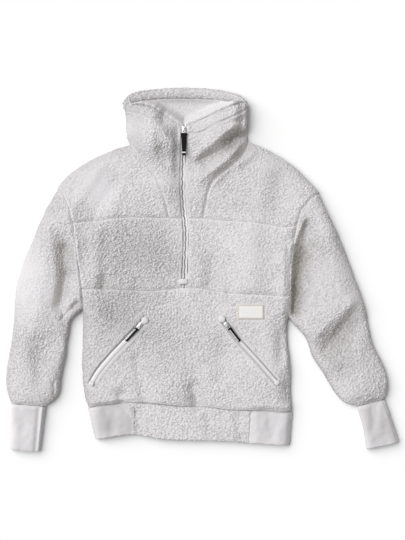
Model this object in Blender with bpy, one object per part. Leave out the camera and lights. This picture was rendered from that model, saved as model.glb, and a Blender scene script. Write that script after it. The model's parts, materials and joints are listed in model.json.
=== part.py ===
"""Fleece pullover laid flat on its back, front side up.

The pullover has a yoke, a stand-up collar with a half zip, a lower front
panel with two slanted pocket zips, and knit cuffs and hem. Left and right
are as seen from the front. Tables are in millimetres, X to the right,
Y towards the collar, Z up from the surface that the garment lies on.
"""
import math

import bmesh
import bpy
import numpy as np
from mathutils import Matrix, Vector
from mathutils.bvhtree import BVHTree

MM = 0.001

# Cloth walls and seams
FLEECE = 5.0
KNIT = 3.0
COLLAR_WALL = 8.0
FACING = 4.0
LINING = 2.0
SEAM_GAP = 0.3

# Heights of the laid garment over the surface
EDGE_HEIGHT = 9.0
EDGE_MIDDLE = 6.3
BODY_CROWN = 24.0
BODY_ROLL = 30.0
HEM_CROWN = 18.0
CUFF_CROWN = 18.0
BAND_ROLL = 16.0
FOLD_FADE = 24.0
STEEPEST = 0.35
THINNEST = 1.5

# Centre zip and pocket zips
ZIP_WIDTH = 12.0
ZIP_SUNK = 2.6
TAPE = 1.2
POCKET_TAPE_WIDTH = 9.0
TACK = {"x": -44.5, "y": -27.0, "width": 21.0, "length": 13.0, "thickness": 1.2}
PATCH_RADIUS = 8.5
PATCH_THICKNESS = 1.6
END_PATCH = {"width": 13.0, "length": 10.0, "thickness": 1.6}

# Slider, its arch, and the link that turns in the arch
SLIDER_LENGTH = 13.0
SLIDER_WIDTH = 9.0
SLIDER_BASE = 2.6
ARCH_LENGTH = 6.8
ARCH_HEIGHT = 4.4
ARCH_WIDTH = 2.2
ARCH_BAR = 1.2
PIVOT_ALONG = 1.0
PIVOT_RISE = 1.6
LINK_BAR = 1.2
LINK_HOLE_WIDTH = 3.6
LINK_HOLE_LENGTH = 5.8
LOWEST_TILT = math.radians(-5.0)

# Pull tabs: where the slider sits, which way the tab points, its length and widths
PULLS = {
    "centre": {"x": -43.0, "y": 326.5, "dx": 0.0, "dy": -1.0, "length": 52.0, "lug": 17.0,
               "top": 13.0, "end": 9.5},
    "pocket_left": {"x": -145.5, "y": -129.0, "dx": -0.67, "dy": -0.742, "length": 40.0, "lug": 10.0,
                    "top": 8.5, "end": 7.0},
    "pocket_right": {"x": 56.5, "y": -128.0, "dx": 0.62, "dy": -0.785, "length": 40.0, "lug": 10.0,
                     "top": 8.5, "end": 7.0},
}
TAB_THICKNESS = 2.4
TAB_LUG_LENGTH = 4.0

# Label on the lower front
LABEL = {"x": 113.0, "y": -98.0, "width": 60.0, "height": 33.0, "thickness": 1.2}

# Control points of the outline and the seams, each a smooth curve (x, y)
LINES = {
    "side_left": [(-267, -322), (-276, -297), (-281, -259), (-283, -219), (-282, -180), (-281, -142),
                  (-279, -94)],
    "side_right": [(209, -330), (207, -274), (206, -227), (200, -180), (198, -142), (200, -113)],
    "armhole_left": [(-338, 194), (-325, 173), (-309, 138), (-302, 107), (-297, 58), (-284, -31),
                     (-280, -60), (-279, -94)],
    "armhole_right": [(273, 182), (247, 162), (229, 139), (221, 111), (214, 77), (208, 37), (202, 6),
                      (202, -34), (203, -71), (200, -113)],
    "shoulder_left": [(-338, 194), (-320, 218), (-298, 235), (-275, 249), (-247, 265), (-221, 276),
                      (-193, 287), (-170, 292)],
    "shoulder_right": [(273, 182), (254, 204), (230, 227), (202, 252), (172, 270), (141, 287),
                       (106, 300)],
    "neck_back": [(-170, 292), (-110, 288), (-33, 286), (45, 290), (106, 300)],
    "yoke_left": [(-301, 111), (-233, 118), (-174, 124), (-80, 122)],
    "placket_left": [(-80, 122), (-49, 121)],
    "placket_right": [(-35, 121), (1, 121)],
    "yoke_right": [(1, 121), (51, 116), (106, 113), (160, 106), (217, 92)],
    "pouch_left": [(-280, -44), (-204, -44), (-122, -48), (-49, -41)],
    "pouch_right": [(-37, -41), (-2, -42), (56, -53), (134, -57), (203, -61)],
    "hem_left": [(-267, -322), (-228, -312), (-189, -311), (-166, -309)],
    "hem_middle": [(-166, -309), (-122, -309), (-38, -318), (17, -319), (60, -326), (113, -326)],
    "hem_right": [(113, -326), (153, -326), (188, -331), (209, -330)],
    "collar_seam_left": [(-80, 122), (-85, 149), (-95, 182), (-105, 208), (-128, 241), (-151, 267),
                         (-170, 292)],
    "collar_seam_right": [(1, 121), (9, 165), (17, 198), (41, 225), (77, 251), (98, 274), (106, 300)],
    "collar_edge_left": [(-170, 292), (-177, 305), (-179, 321), (-179, 352), (-182, 370), (-187, 392)],
    "collar_edge_right": [(106, 300), (105, 321), (105, 352), (105, 370), (104, 392)],
    "rim_left": [(-187, 392), (-173, 389), (-146, 386), (-114, 379), (-92, 366), (-65, 350),
                 (-49, 338)],
    "rim_right": [(-37, 338), (-9, 350), (16, 361), (41, 372), (67, 384), (82, 390), (104, 392)],
    "rim_back": [(-187, 392), (-184, 402), (-176, 409), (-157, 417), (-108, 424), (-42, 427),
                 (24, 424), (73, 415), (96, 406), (104, 392)],
    "sleeve_left_outer": [(-338, 194), (-368, 145), (-392, 88), (-421, 20), (-436, -33), (-442, -85),
                          (-444, -137), (-451, -181), (-459, -224), (-462, -255), (-459, -281),
                          (-454, -298), (-449, -311)],
    "sleeve_left_inner": [(-279, -94), (-285, -98), (-293, -106), (-304, -116), (-311, -128),
                          (-312, -142), (-317, -168), (-319, -194), (-325, -224), (-332, -257),
                          (-334, -283), (-342, -303), (-366, -318)],
    "sleeve_right_outer": [(273, 182), (290, 149), (312, 102), (334, 50), (355, -7), (375, -60),
                           (390, -120), (399, -172), (416, -203), (431, -237), (437, -264),
                           (434, -285), (427, -300)],
    "sleeve_right_inner": [(200, -113), (205, -120), (214, -130), (228, -145), (242, -163),
                           (250, -188), (262, -215), (280, -241), (294, -264), (307, -285),
                           (320, -302), (335, -313), (360, -318)],
    "cuff_left_outer": [(-449, -311), (-452, -365), (-453, -420)],
    "cuff_left_inner": [(-366, -318), (-373, -370), (-380, -427)],
    "cuff_right_outer": [(427, -300), (446, -354), (462, -403)],
    "cuff_right_inner": [(360, -318), (375, -368), (382, -420)],
    "zip_lower": [(-43, -41), (-41, 18), (-39, 84), (-42, 121)],
    "zip_upper": [(-42, 121), (-45, 150), (-47, 182), (-47, 211), (-46, 261), (-43, 338)],
    "pocket_left": [(-134, -117), (-175, -161), (-212, -200), (-242, -236), (-259, -264)],
    "pocket_right": [(45, -114), (83, -162), (125, -208), (160, -248), (174, -263)],
    "facing_edge": [(-184, 381), (-147, 391), (-118, 399), (-41, 402), (35, 399), (61, 394),
                    (103, 383)],
}

# Shares of each line's length where its corners lie
EVEN = {n: [k / n for k in range(n + 1)] for n in range(1, 41)}
ARMHOLE_UPPER = [0.0, 0.03, 0.09, 0.19, 0.31]
ARMHOLE_MIDDLE = [0.31, 0.41, 0.52, 0.63, 0.73, 0.83]
ARMHOLE_LOWER = [0.83, 0.92, 0.97, 1.0]
SIDE_TO_MIDDLE = [0.0, 0.03, 0.08, 0.16, 0.28, 0.42, 0.58, 0.72, 0.86, 1.0]
SIDE_SHORT = [0.0, 0.1, 0.25, 0.55, 1.0]
ACROSS_COLLAR = [0.0, 0.03, 0.07, 0.13, 0.21, 0.32, 0.48, 0.66, 0.84, 1.0]
ACROSS_CUFF = [0.0, 0.06, 0.17, 0.34, 0.5, 0.66, 0.83, 0.94, 1.0]
ALONG_SLEEVE = [0.0, 0.04, 0.08, 0.13, 0.18, 0.23, 0.28, 0.33, 0.38, 0.43, 0.48, 0.53, 0.58,
                0.63, 0.68, 0.73, 0.78, 0.83, 0.88, 0.93, 0.97, 1.0]

# Folds and swells of the laid cloth: a line from start to end, its half width and its height
FOLD_COLUMNS = ("x0", "y0", "x1", "y1", "width", "height")
FOLDS = {
    "collar_crown_left": (-138, 372, -120, 300, 34, 22),
    "collar_crown_right": (66, 372, 66, 318, 32, 25),
    "collar_crown_low_left": (-118, 290, -88, 190, 26, 9),
    "collar_crown_low_right": (46, 275, 14, 225, 24, 10),
    "collar_stand": (-110, 332, 30, 332, 54, 13),
    "placket_rise": (-43, 270, -43, 190, 46, 5),
    "zip_bed_collar": (-43, 345, -43, 130, 14, -5),
    "collar_hollow_left": (-100, 368, -70, 309, 14, -12),
    "collar_hollow_low_left": (-86, 280, -60, 222, 11, -6),
    "collar_valley_right": (-9, 246, 96, 326, 12, -19),
    "collar_ridge_right": (10, 226, 74, 268, 11, 8),
    "collar_valley_low_right": (30, 206, 100, 270, 9, -7),
    "collar_valley_rim_right": (-4, 335, 30, 340, 13, -6),
    "shoulder_ridge_left": (-196, 270, -160, 236, 14, 5),
    "shoulder_ridge_right": (132, 262, 108, 222, 15, 5),
    "sleeve_crown_left": (-344, 120, -386, -60, 40, 8),
    "sleeve_crown_low_left": (-388, -100, -398, -262, 34, 7),
    "sleeve_crown_right": (276, 110, 322, -70, 34, 7),
    "sleeve_crown_low_right": (330, -110, 372, -262, 34, 7),
    "armhole_ridge_left": (-312, 168, -290, 20, 9, 4),
    "armhole_dip_left": (-325, 60, -325, -90, 10, -9),
    "underarm_fold_left": (-322, -112, -286, -66, 9, -6),
    "sleeve_fold_left": (-340, -84, -300, -104, 10, 4),
    "elbow_dip_left": (-336, -166, -388, -196, 20, -6),
    "lower_dip_left": (-386, -206, -382, -268, 16, -4),
    "armhole_ridge_right": (248, 150, 222, 60, 9, 4),
    "armhole_dip_right": (222, 70, 214, -104, 11, -9),
    "upper_dip_right": (262, 110, 274, 10, 14, -6),
    "elbow_dip_right": (347, -92, 292, -170, 15, -10),
    "elbow_ridge_right": (318, -66, 262, -142, 14, 7),
    "lower_dip_right": (322, -190, 338, -258, 16, -5),
    "wrist_dip_left": (-460, -312, -356, -320, 11, -6),
    "wrist_dip_right": (352, -320, 438, -300, 11, -6),
    "hem_dip": (-280, -318, 220, -334, 13, -2),
    "chest_swell_left": (-150, 80, -130, -20, 48, 4),
    "chest_dip_left": (-220, 70, -240, -40, 22, -3),
    "chest_swell_right": (96, 84, 104, -40, 40, 4),
    "chest_dip_right": (30, 60, 22, -36, 20, -3),
    "pouch_swell_left": (-196, -250, -92, -280, 40, 4),
    "pouch_dip_left": (-172, -210, -158, -300, 18, -4),
    "pouch_swell_middle": (-60, -120, 20, -130, 50, 3),
    "pouch_dip_middle": (-30, -240, -14, -312, 17, -6),
    "pouch_swell_right": (90, -250, 120, -290, 34, 4),
    "pouch_dip_right": (182, -130, 184, -206, 15, -4),
}

# Colour, roughness and metallic value of each material
FINISHES = {
    "fleece": ((0.80, 0.80, 0.80), 0.95, 0.0),
    "knit": ((0.84, 0.83, 0.81), 0.9, 0.0),
    "lining": ((0.80, 0.80, 0.80), 0.85, 0.0),
    "zip_cloth": ((0.86, 0.86, 0.86), 0.8, 0.0),
    "slider_metal": ((0.62, 0.63, 0.65), 0.3, 1.0),
    "pull_rubber": ((0.03, 0.03, 0.035), 0.55, 0.0),
    "label_cloth": ((0.85, 0.83, 0.78), 0.8, 0.0),
}


# Plan curves


def smooth_curve(points, per_span=24):
    """A dense curve through control points, rounded as a bent seam is."""
    p = np.array(points, float)
    if len(p) == 2:
        return np.array([p[0] + (p[1] - p[0]) * t for t in np.linspace(0, 1, per_span)])
    padded = np.vstack([2 * p[0] - p[1], p, 2 * p[-1] - p[-2]])
    out = []
    for i in range(1, len(padded) - 2):
        a, b, c, d = padded[i - 1:i + 3]
        for t in np.linspace(0, 1, per_span, endpoint=False):
            out.append(0.5 * (2 * b + (c - a) * t + (2 * a - 5 * b + 4 * c - d) * t * t
                              + (3 * b - a - 3 * c + d) * t ** 3))
    out.append(p[-1])
    return np.array(out)


def along(curve, shares):
    """Points at shares of a curve's length."""
    steps = np.linalg.norm(np.diff(curve, axis=0), axis=1)
    length = np.concatenate([[0], np.cumsum(steps)])
    s = np.array(shares) * length[-1]
    return np.stack([np.interp(s, length, curve[:, k]) for k in (0, 1)], axis=1)


def finer(line, parts):
    """The same line with each stretch cut into equal parts."""
    out = [line[0]]
    for a, b in zip(line[:-1], line[1:]):
        out += [a + (b - a) * k / parts for k in range(1, parts + 1)]
    return np.array(out)


def join(*lines):
    """Lines that meet end to end, as one line."""
    out = lines[0]
    for line in lines[1:]:
        out = np.vstack([out, line[1:]])
    return out


def beside(line, distance):
    """A line moved sideways, to its right for a positive distance."""
    way = np.gradient(line, axis=0)
    way /= np.linalg.norm(way, axis=1)[:, None]
    return line + np.stack([way[:, 1], -way[:, 0]], axis=1) * distance


CURVES = {name: smooth_curve(points) for name, points in LINES.items()}


def stretch(name, shares):
    return along(CURVES[name], shares)


def shares_of(line):
    steps = np.linalg.norm(np.diff(line, axis=0), axis=1)
    length = np.concatenate([[0], np.cumsum(steps)])
    return length / length[-1]


def panel_plan(bottom, top, left, right):
    """A grid of plan points that fills the space between four lines."""
    u = (shares_of(bottom) + shares_of(top)) / 2
    v = (shares_of(left) + shares_of(right)) / 2
    grid = np.zeros((len(v), len(u), 2))
    for j, b in enumerate(v):
        for i, a in enumerate(u):
            sides = (1 - a) * left[j] + a * right[j]
            ends = (1 - b) * bottom[i] + b * top[i]
            corners = ((1 - a) * (1 - b) * bottom[0] + a * (1 - b) * bottom[-1]
                       + (1 - a) * b * top[0] + a * b * top[-1])
            grid[j, i] = sides + ends - corners
    return grid


def border_places(rows, columns):
    """Row and column of each border point, once round."""
    places = [(0, i) for i in range(columns)]
    places += [(j, columns - 1) for j in range(1, rows)]
    places += [(rows - 1, i) for i in range(columns - 2, -1, -1)]
    places += [(j, 0) for j in range(rows - 2, 0, -1)]
    return places


def draw_in(outline, distance):
    """A closed outline moved inwards by a distance."""
    before = np.roll(outline, 1, axis=0)
    after = np.roll(outline, -1, axis=0)
    area = np.sum(outline[:, 0] * after[:, 1] - after[:, 0] * outline[:, 1])
    turn = 1.0 if area > 0 else -1.0

    def inward(a, b):
        way = b - a
        way /= np.maximum(np.linalg.norm(way, axis=1), 1e-9)[:, None]
        return np.stack([-way[:, 1], way[:, 0]], axis=1) * turn

    first, second = inward(before, outline), inward(outline, after)
    shared = np.maximum(1 + np.sum(first * second, axis=1), 0.3)
    return outline + distance * (first + second) / shared[:, None]


def seam_room(grid):
    """Half a seam gap taken off all round a panel's plan."""
    places = border_places(*grid.shape[:2])
    outline = np.array([grid[p] for p in places])
    moved = draw_in(outline, SEAM_GAP / 2)
    grid = grid.copy()
    for place, point in zip(places, moved):
        grid[place] = point
    return grid


# Height of the cloth over the surface


BODY_EDGES = [
    join(CURVES["side_left"], CURVES["sleeve_left_inner"], CURVES["cuff_left_inner"]),
    join(CURVES["cuff_left_outer"][::-1], CURVES["sleeve_left_outer"][::-1]),
    join(CURVES["shoulder_left"], CURVES["collar_edge_left"]),
    join(CURVES["shoulder_right"], CURVES["collar_edge_right"]),
    join(CURVES["sleeve_right_outer"], CURVES["cuff_right_outer"]),
    join(CURVES["side_right"], CURVES["sleeve_right_inner"], CURVES["cuff_right_inner"]),
]
HEM_EDGES = [np.array([(-267, -322), (-250, -398)], float), np.array([(209, -330), (202, -412)], float)]


def distance_to(lines, points):
    """Distance from each point to the nearest of some lines."""
    best = np.full(len(points), 1e9)
    for line in lines:
        a, b = line[:-1], line[1:]
        way = b - a
        square = np.maximum(np.sum(way * way, axis=1), 1e-9)
        for start in range(0, len(points), 2000):
            q = points[start:start + 2000, None, :]
            t = np.clip(np.sum((q - a) * way, axis=2) / square, 0, 1)
            gap = np.linalg.norm(q - (a + way * t[..., None]), axis=2).min(axis=1)
            best[start:start + 2000] = np.minimum(best[start:start + 2000], gap)
    return best


def rolled(gap, low, high, roll):
    """A quarter round from a folded edge up to the crown."""
    t = np.clip(gap / roll, 0, 1)
    return low + (high - low) * np.sqrt(1 - (1 - t) ** 2)


def eased(t):
    t = np.clip(t, 0, 1)
    return t * t * (3 - 2 * t)


def body_height(points):
    """Outer height of the body, sleeves and collar front."""
    points = np.asarray(points, float).reshape(-1, 2)
    gap = distance_to(BODY_EDGES, points)
    height = rolled(gap, EDGE_HEIGHT, BODY_CROWN, BODY_ROLL)
    folds = np.zeros(len(points))
    for row in FOLDS.values():
        fold = dict(zip(FOLD_COLUMNS, row))
        line = np.array([(fold["x0"], fold["y0"]), (fold["x1"], fold["y1"])], float)
        away = distance_to([line], points)
        folds += fold["height"] * np.exp(-(away / fold["width"]) ** 2)
    return np.maximum(height + folds * eased(gap / FOLD_FADE), EDGE_HEIGHT)


def hem_height(points):
    points = np.asarray(points, float).reshape(-1, 2)
    gap = distance_to(HEM_EDGES, points)
    return rolled(gap, EDGE_HEIGHT, HEM_CROWN, BAND_ROLL)


def cuff_height(points):
    points = np.asarray(points, float).reshape(-1, 2)
    edges = [CURVES[f"cuff_{side}_{edge}"] for side in ("left", "right") for edge in ("outer", "inner")]
    gap = distance_to(edges, points)
    return rolled(gap, EDGE_HEIGHT - 1, CUFF_CROWN, BAND_ROLL)


def upright(height_of, points):
    """How upright the cloth's normal is, from 1 where it lies flat."""
    e = 1.0
    points = np.asarray(points, float).reshape(-1, 2)
    dx = (height_of(points + (e, 0)) - height_of(points - (e, 0))) / (2 * e)
    dy = (height_of(points + (0, e)) - height_of(points - (0, e))) / (2 * e)
    return np.maximum(1 / np.sqrt(1 + dx * dx + dy * dy), STEEPEST)


def wall_heights(grid, height_of, wall, lowest):
    """Top and under side of a cloth wall over a plan grid."""
    flat = grid.reshape(-1, 2)
    top = np.maximum(height_of(flat), lowest + THINNEST)
    under = np.maximum(top - wall / upright(height_of, flat), lowest)
    shape = grid.shape[:2]
    return top.reshape(shape), under.reshape(shape)


# Meshes


def own_material(name, finish):
    colour, roughness, metallic = FINISHES[finish]
    material = bpy.data.materials.new(name)
    material.use_nodes = True
    shader = material.node_tree.nodes["Principled BSDF"]
    shader.inputs["Base Color"].default_value = (*colour, 1.0)
    shader.inputs["Roughness"].default_value = roughness
    shader.inputs["Metallic"].default_value = metallic
    return material


def add_object(name, bm, finish, matrix=None):
    """An object from a closed bmesh, faces out, with its own material."""
    bmesh.ops.recalc_face_normals(bm, faces=bm.faces)
    mesh = bpy.data.meshes.new(name)
    bm.to_mesh(mesh)
    bm.free()
    mesh.shade_smooth()
    mesh.set_sharp_from_angle(angle=math.radians(50))
    mesh.materials.append(own_material(name, finish))
    piece = bpy.data.objects.new(name, mesh)
    if matrix is not None:
        piece.matrix_world = matrix
    bpy.context.scene.collection.objects.link(piece)
    return piece


def shell(name, outer, inner, finish, closed_round=False):
    """A closed wall between two grids of points, open or closed round."""
    rows, columns = len(outer), len(outer[0])
    bm = bmesh.new()
    skins = [[[bm.verts.new(Vector(p) * MM) for p in row] for row in skin] for skin in (outer, inner)]
    last = columns if closed_round else columns - 1
    for skin in skins:
        for j in range(rows - 1):
            for i in range(last):
                k = (i + 1) % columns
                bm.faces.new((skin[j][i], skin[j][k], skin[j + 1][k], skin[j + 1][i]))
    a, b = skins
    for j in (0, rows - 1):
        for i in range(last):
            k = (i + 1) % columns
            bm.faces.new((a[j][i], a[j][k], b[j][k], b[j][i]))
    if not closed_round:
        for i in (0, columns - 1):
            for j in range(rows - 1):
                bm.faces.new((a[j][i], a[j + 1][i], b[j + 1][i], b[j][i]))
    return add_object(name, bm, finish)


def slab(name, outline, low, high, finish, matrix=None):
    """A flat plate from a plan outline."""
    bm = bmesh.new()
    face = bm.faces.new([bm.verts.new(Vector((x, y, low)) * MM) for x, y in outline])
    grown = bmesh.ops.extrude_face_region(bm, geom=[face])
    for item in grown["geom"]:
        if isinstance(item, bmesh.types.BMVert):
            item.co.z = high * MM
    return add_object(name, bm, finish, matrix)


def with_heights(grid, heights):
    return np.concatenate([grid, heights[..., None]], axis=2)


def cloth_panel(name, lines, finish="fleece", wall=FLEECE, lowest=FLEECE + SEAM_GAP,
                height_of=body_height):
    """A cloth panel between four seam lines, laid over the layer under it."""
    grid = seam_room(panel_plan(*lines))
    top, under = wall_heights(grid, height_of, wall, lowest)
    return shell(name, with_heights(grid, top), with_heights(grid, under), finish)


def cloth_tree(names):
    """The faces of some pieces as built, to lay other pieces on."""
    points, faces = [], []
    for name in names:
        mesh = bpy.data.objects[name].data
        start = len(points)
        points += [vertex.co / MM for vertex in mesh.vertices]
        faces += [[start + i for i in face.vertices] for face in mesh.polygons]
    return BVHTree.FromPolygons(points, faces)


def highest(tree, x, y, reach):
    """The cloth's highest point within reach of a place."""
    best = 0.0
    for i in (-1, 0, 1):
        for j in (-1, 0, 1):
            hit = tree.ray_cast(Vector((x + i * reach, y + j * reach, 200.0)), Vector((0, 0, -1)))
            if hit[0] is not None:
                best = max(best, hit[0].z)
    return best


def laid_strip(name, grid, tree, thickness, finish, reach=4.0):
    """A thin strip that follows the cloth under it."""
    under = np.array([[highest(tree, x, y, reach) + SEAM_GAP for x, y in row] for row in grid])
    return shell(name, with_heights(grid, under + thickness), with_heights(grid, under), finish)


def seat(tree, x, y, dx, dy, length, width):
    """A frame on the cloth: its X along (dx, dy), its Z off the cloth, its origin clear of it."""
    way = Vector((dx, dy)).normalized()
    across = Vector((-way.y, way.x))
    spots, heights = [], []
    for a in np.linspace(-length / 2, length / 2, 7):
        for b in np.linspace(-width / 2, width / 2, 5):
            place = Vector((x, y)) + way * a + across * b
            spots.append((a, b, 1.0))
            heights.append(highest(tree, place.x, place.y, 0.8))
    spots, heights = np.array(spots), np.array(heights)
    plane = np.linalg.lstsq(spots, heights, rcond=None)[0]
    lift = np.max(heights - spots @ plane) + SEAM_GAP
    along_axis = Vector((way.x, way.y, plane[0])).normalized()
    normal = along_axis.cross(Vector((across.x, across.y, plane[1]))).normalized()
    across_axis = normal.cross(along_axis)
    frame = Matrix((along_axis, across_axis, normal)).transposed().to_4x4()
    frame.translation = Vector((x, y, plane[2] + lift))
    return frame


def in_metres(frame):
    placed = frame.copy()
    placed.translation = frame.translation * MM
    return placed


# Seam lines shared by the panels on both sides of them


ARM = {}
for side in ("left", "right"):
    for part_name, shares in (("upper", ARMHOLE_UPPER), ("middle", ARMHOLE_MIDDLE),
                              ("lower", ARMHOLE_LOWER)):
        ARM[side, part_name] = stretch(f"armhole_{side}", shares)


def with_ends(line, start=None, end=None):
    """A line whose end points are put exactly on other lines' corners."""
    line = line.copy()
    if start is not None:
        line[0] = start
    if end is not None:
        line[-1] = end
    return line


ZIP_CENTRE_LOW = stretch("zip_lower", EVEN[5])
ZIP_CENTRE_HIGH = stretch("zip_upper", EVEN[7])
ZIP_LINE = join(ZIP_CENTRE_LOW, ZIP_CENTRE_HIGH)
ZIP_LEFT = beside(ZIP_LINE, -ZIP_WIDTH / 2)
ZIP_RIGHT = beside(ZIP_LINE, ZIP_WIDTH / 2)
LOW_END = len(ZIP_CENTRE_LOW)

SIDE_LEFT = stretch("side_left", EVEN[8])
SIDE_RIGHT = stretch("side_right", EVEN[8])
YOKE_LEFT = with_ends(stretch("yoke_left", EVEN[7]), start=ARM["left", "upper"][-1])
YOKE_RIGHT = with_ends(stretch("yoke_right", EVEN[7]), end=ARM["right", "upper"][-1])
PLACKET_LEFT = with_ends(stretch("placket_left", EVEN[2]), end=ZIP_LEFT[LOW_END - 1])
PLACKET_RIGHT = with_ends(stretch("placket_right", EVEN[2]), start=ZIP_RIGHT[LOW_END - 1])
POUCH_LEFT = with_ends(stretch("pouch_left", SIDE_TO_MIDDLE), ARM["left", "middle"][-1], ZIP_LEFT[0])
POUCH_RIGHT = with_ends(stretch("pouch_right", [1 - s for s in SIDE_TO_MIDDLE[::-1]]),
                        ZIP_RIGHT[0], ARM["right", "middle"][-1])
HEM_LEFT = stretch("hem_left", SIDE_SHORT)
HEM_MIDDLE = stretch("hem_middle", EVEN[11])
HEM_RIGHT = stretch("hem_right", [1 - s for s in SIDE_SHORT[::-1]])
COLLAR_SEAM_LEFT = stretch("collar_seam_left", EVEN[8])
COLLAR_SEAM_RIGHT = stretch("collar_seam_right", EVEN[8])
COLLAR_EDGE_LEFT = stretch("collar_edge_left", EVEN[6])
COLLAR_EDGE_RIGHT = stretch("collar_edge_right", EVEN[6])
RIM_LEFT = with_ends(stretch("rim_left", ACROSS_COLLAR), end=ZIP_LEFT[-1])
RIM_RIGHT = with_ends(stretch("rim_right", [1 - s for s in ACROSS_COLLAR[::-1]]), start=ZIP_RIGHT[-1])
NECK_BACK = stretch("neck_back", EVEN[6])
RIM_BACK = stretch("rim_back", EVEN[16])
SHOULDER_LEFT = stretch("shoulder_left", EVEN[7])
SHOULDER_RIGHT = stretch("shoulder_right", EVEN[7])


# Body


def make_back():
    outline = join(SIDE_LEFT, ARM["left", "lower"][::-1], ARM["left", "middle"][::-1],
                   ARM["left", "upper"][::-1], SHOULDER_LEFT, NECK_BACK, SHOULDER_RIGHT[::-1],
                   ARM["right", "upper"], ARM["right", "middle"], ARM["right", "lower"],
                   SIDE_RIGHT[::-1], HEM_RIGHT[::-1], HEM_MIDDLE[::-1], HEM_LEFT[::-1])[:-1]
    slab("back_panel", draw_in(outline, SEAM_GAP / 2), 0.0, FLEECE, "fleece")


def make_front():
    cloth_panel("yoke_left", (YOKE_LEFT, SHOULDER_LEFT, finer(ARM["left", "upper"][::-1], 2),
                              COLLAR_SEAM_LEFT))
    cloth_panel("yoke_right", (YOKE_RIGHT, SHOULDER_RIGHT[::-1], COLLAR_SEAM_RIGHT,
                               finer(ARM["right", "upper"][::-1], 2)))
    chest_top_left = join(YOKE_LEFT, PLACKET_LEFT)
    chest_top_right = join(PLACKET_RIGHT, YOKE_RIGHT)
    cloth_panel("chest_left", (POUCH_LEFT, chest_top_left, finer(ARM["left", "middle"][::-1], 2),
                               finer(ZIP_LEFT[:LOW_END], 2)))
    cloth_panel("chest_right", (POUCH_RIGHT, chest_top_right, finer(ZIP_RIGHT[:LOW_END], 2),
                                finer(ARM["right", "middle"][::-1], 2)))
    pouch_top = np.vstack([POUCH_LEFT, POUCH_RIGHT])
    cloth_panel("lower_front", (join(HEM_LEFT, HEM_MIDDLE, HEM_RIGHT), pouch_top,
                                join(SIDE_LEFT, ARM["left", "lower"][::-1]),
                                join(SIDE_RIGHT, ARM["right", "lower"][::-1])))


# Sleeves and cuffs


def tube(name, plan, height_of, wall, finish):
    """A flattened cloth tube: plan rows run across it, flat underneath."""
    columns = plan.shape[1]
    below = list(range(columns - 2, 0, -1))
    hollow_plan = ends_drawn_in(plan, SEAM_GAP)
    outer, inner = [], []
    for row, hollow_row in zip(plan, hollow_plan):
        share = shares_of(row)
        width = np.linalg.norm(np.diff(row, axis=0), axis=1).sum()
        start = wall / width
        inside = along(hollow_row, start + (1 - 2 * start) * share)
        top = np.maximum(height_of(row), wall + 2.0)
        top_inside = height_of(inside)
        ceiling = np.maximum(top_inside - wall / upright(height_of, inside), wall + 1.0)
        ring = [(*row[0], EDGE_MIDDLE)]
        ring += [(*row[i], top[i]) for i in range(1, columns - 1)]
        ring += [(*row[-1], EDGE_MIDDLE)]
        ring += [(*row[i], 0.0) for i in below]
        hollow = [(*inside[0], EDGE_MIDDLE)]
        hollow += [(*inside[i], ceiling[i]) for i in range(1, columns - 1)]
        hollow += [(*inside[-1], EDGE_MIDDLE)]
        hollow += [(*inside[i], wall) for i in below]
        outer.append(ring)
        inner.append(hollow)
    return shell(name, outer, inner, finish, closed_round=True)


def ends_drawn_in(grid, distance=SEAM_GAP / 2):
    """A tube's plan with its two ends drawn in from the seams."""
    grid = grid.copy()
    for end, beyond in ((0, 1), (-1, -2)):
        way = grid[beyond] - grid[end]
        row_way = np.gradient(grid[end], axis=0)
        normal = np.stack([-row_way[:, 1], row_way[:, 0]], axis=1)
        normal /= np.linalg.norm(normal, axis=1)[:, None]
        normal *= np.sign(np.sum(normal * way, axis=1))[:, None]
        grid[end] += normal * distance
    return grid


def make_sleeve(side):
    armhole = join(ARM[side, "upper"], ARM[side, "middle"], ARM[side, "lower"])
    outer = stretch(f"sleeve_{side}_outer", ALONG_SLEEVE)
    inner = stretch(f"sleeve_{side}_inner", ALONG_SLEEVE)
    share = shares_of(armhole)
    wrist = np.array([outer[-1] + (inner[-1] - outer[-1]) * s for s in share])
    plan = panel_plan(armhole, wrist, outer, inner)
    tube(f"sleeve_{side}", ends_drawn_in(plan), body_height, FLEECE, "fleece")


def make_cuff(side):
    outer = stretch(f"cuff_{side}_outer", EVEN[6])
    inner = stretch(f"cuff_{side}_inner", EVEN[6])
    plan = np.array([[a + (b - a) * s for s in ACROSS_CUFF] for a, b in zip(outer, inner)])
    tube(f"cuff_{side}", ends_drawn_in(plan), cuff_height, KNIT, "knit")


# Hem


HEM_BOTTOM_LEFT = [(-250, -398), (-205, -389), (-166, -384)]
HEM_BOTTOM_MIDDLE = [(-163, -384), (-127, -389), (-92, -396), (-2, -399), (56, -400), (108, -404)]
HEM_BOTTOM_RIGHT = [(111, -405), (160, -408), (202, -412)]
HEM_ROWS = 6


def make_hem_front():
    bottom = along(smooth_curve(HEM_BOTTOM_MIDDLE), EVEN[11])
    left = along(np.array([bottom[0], HEM_MIDDLE[0]]), EVEN[5])
    right = along(np.array([bottom[-1], HEM_MIDDLE[-1]]), EVEN[5])
    cloth_panel("hem_front", (bottom, HEM_MIDDLE, left, right), height_of=hem_height,
                lowest=KNIT + SEAM_GAP)


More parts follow.
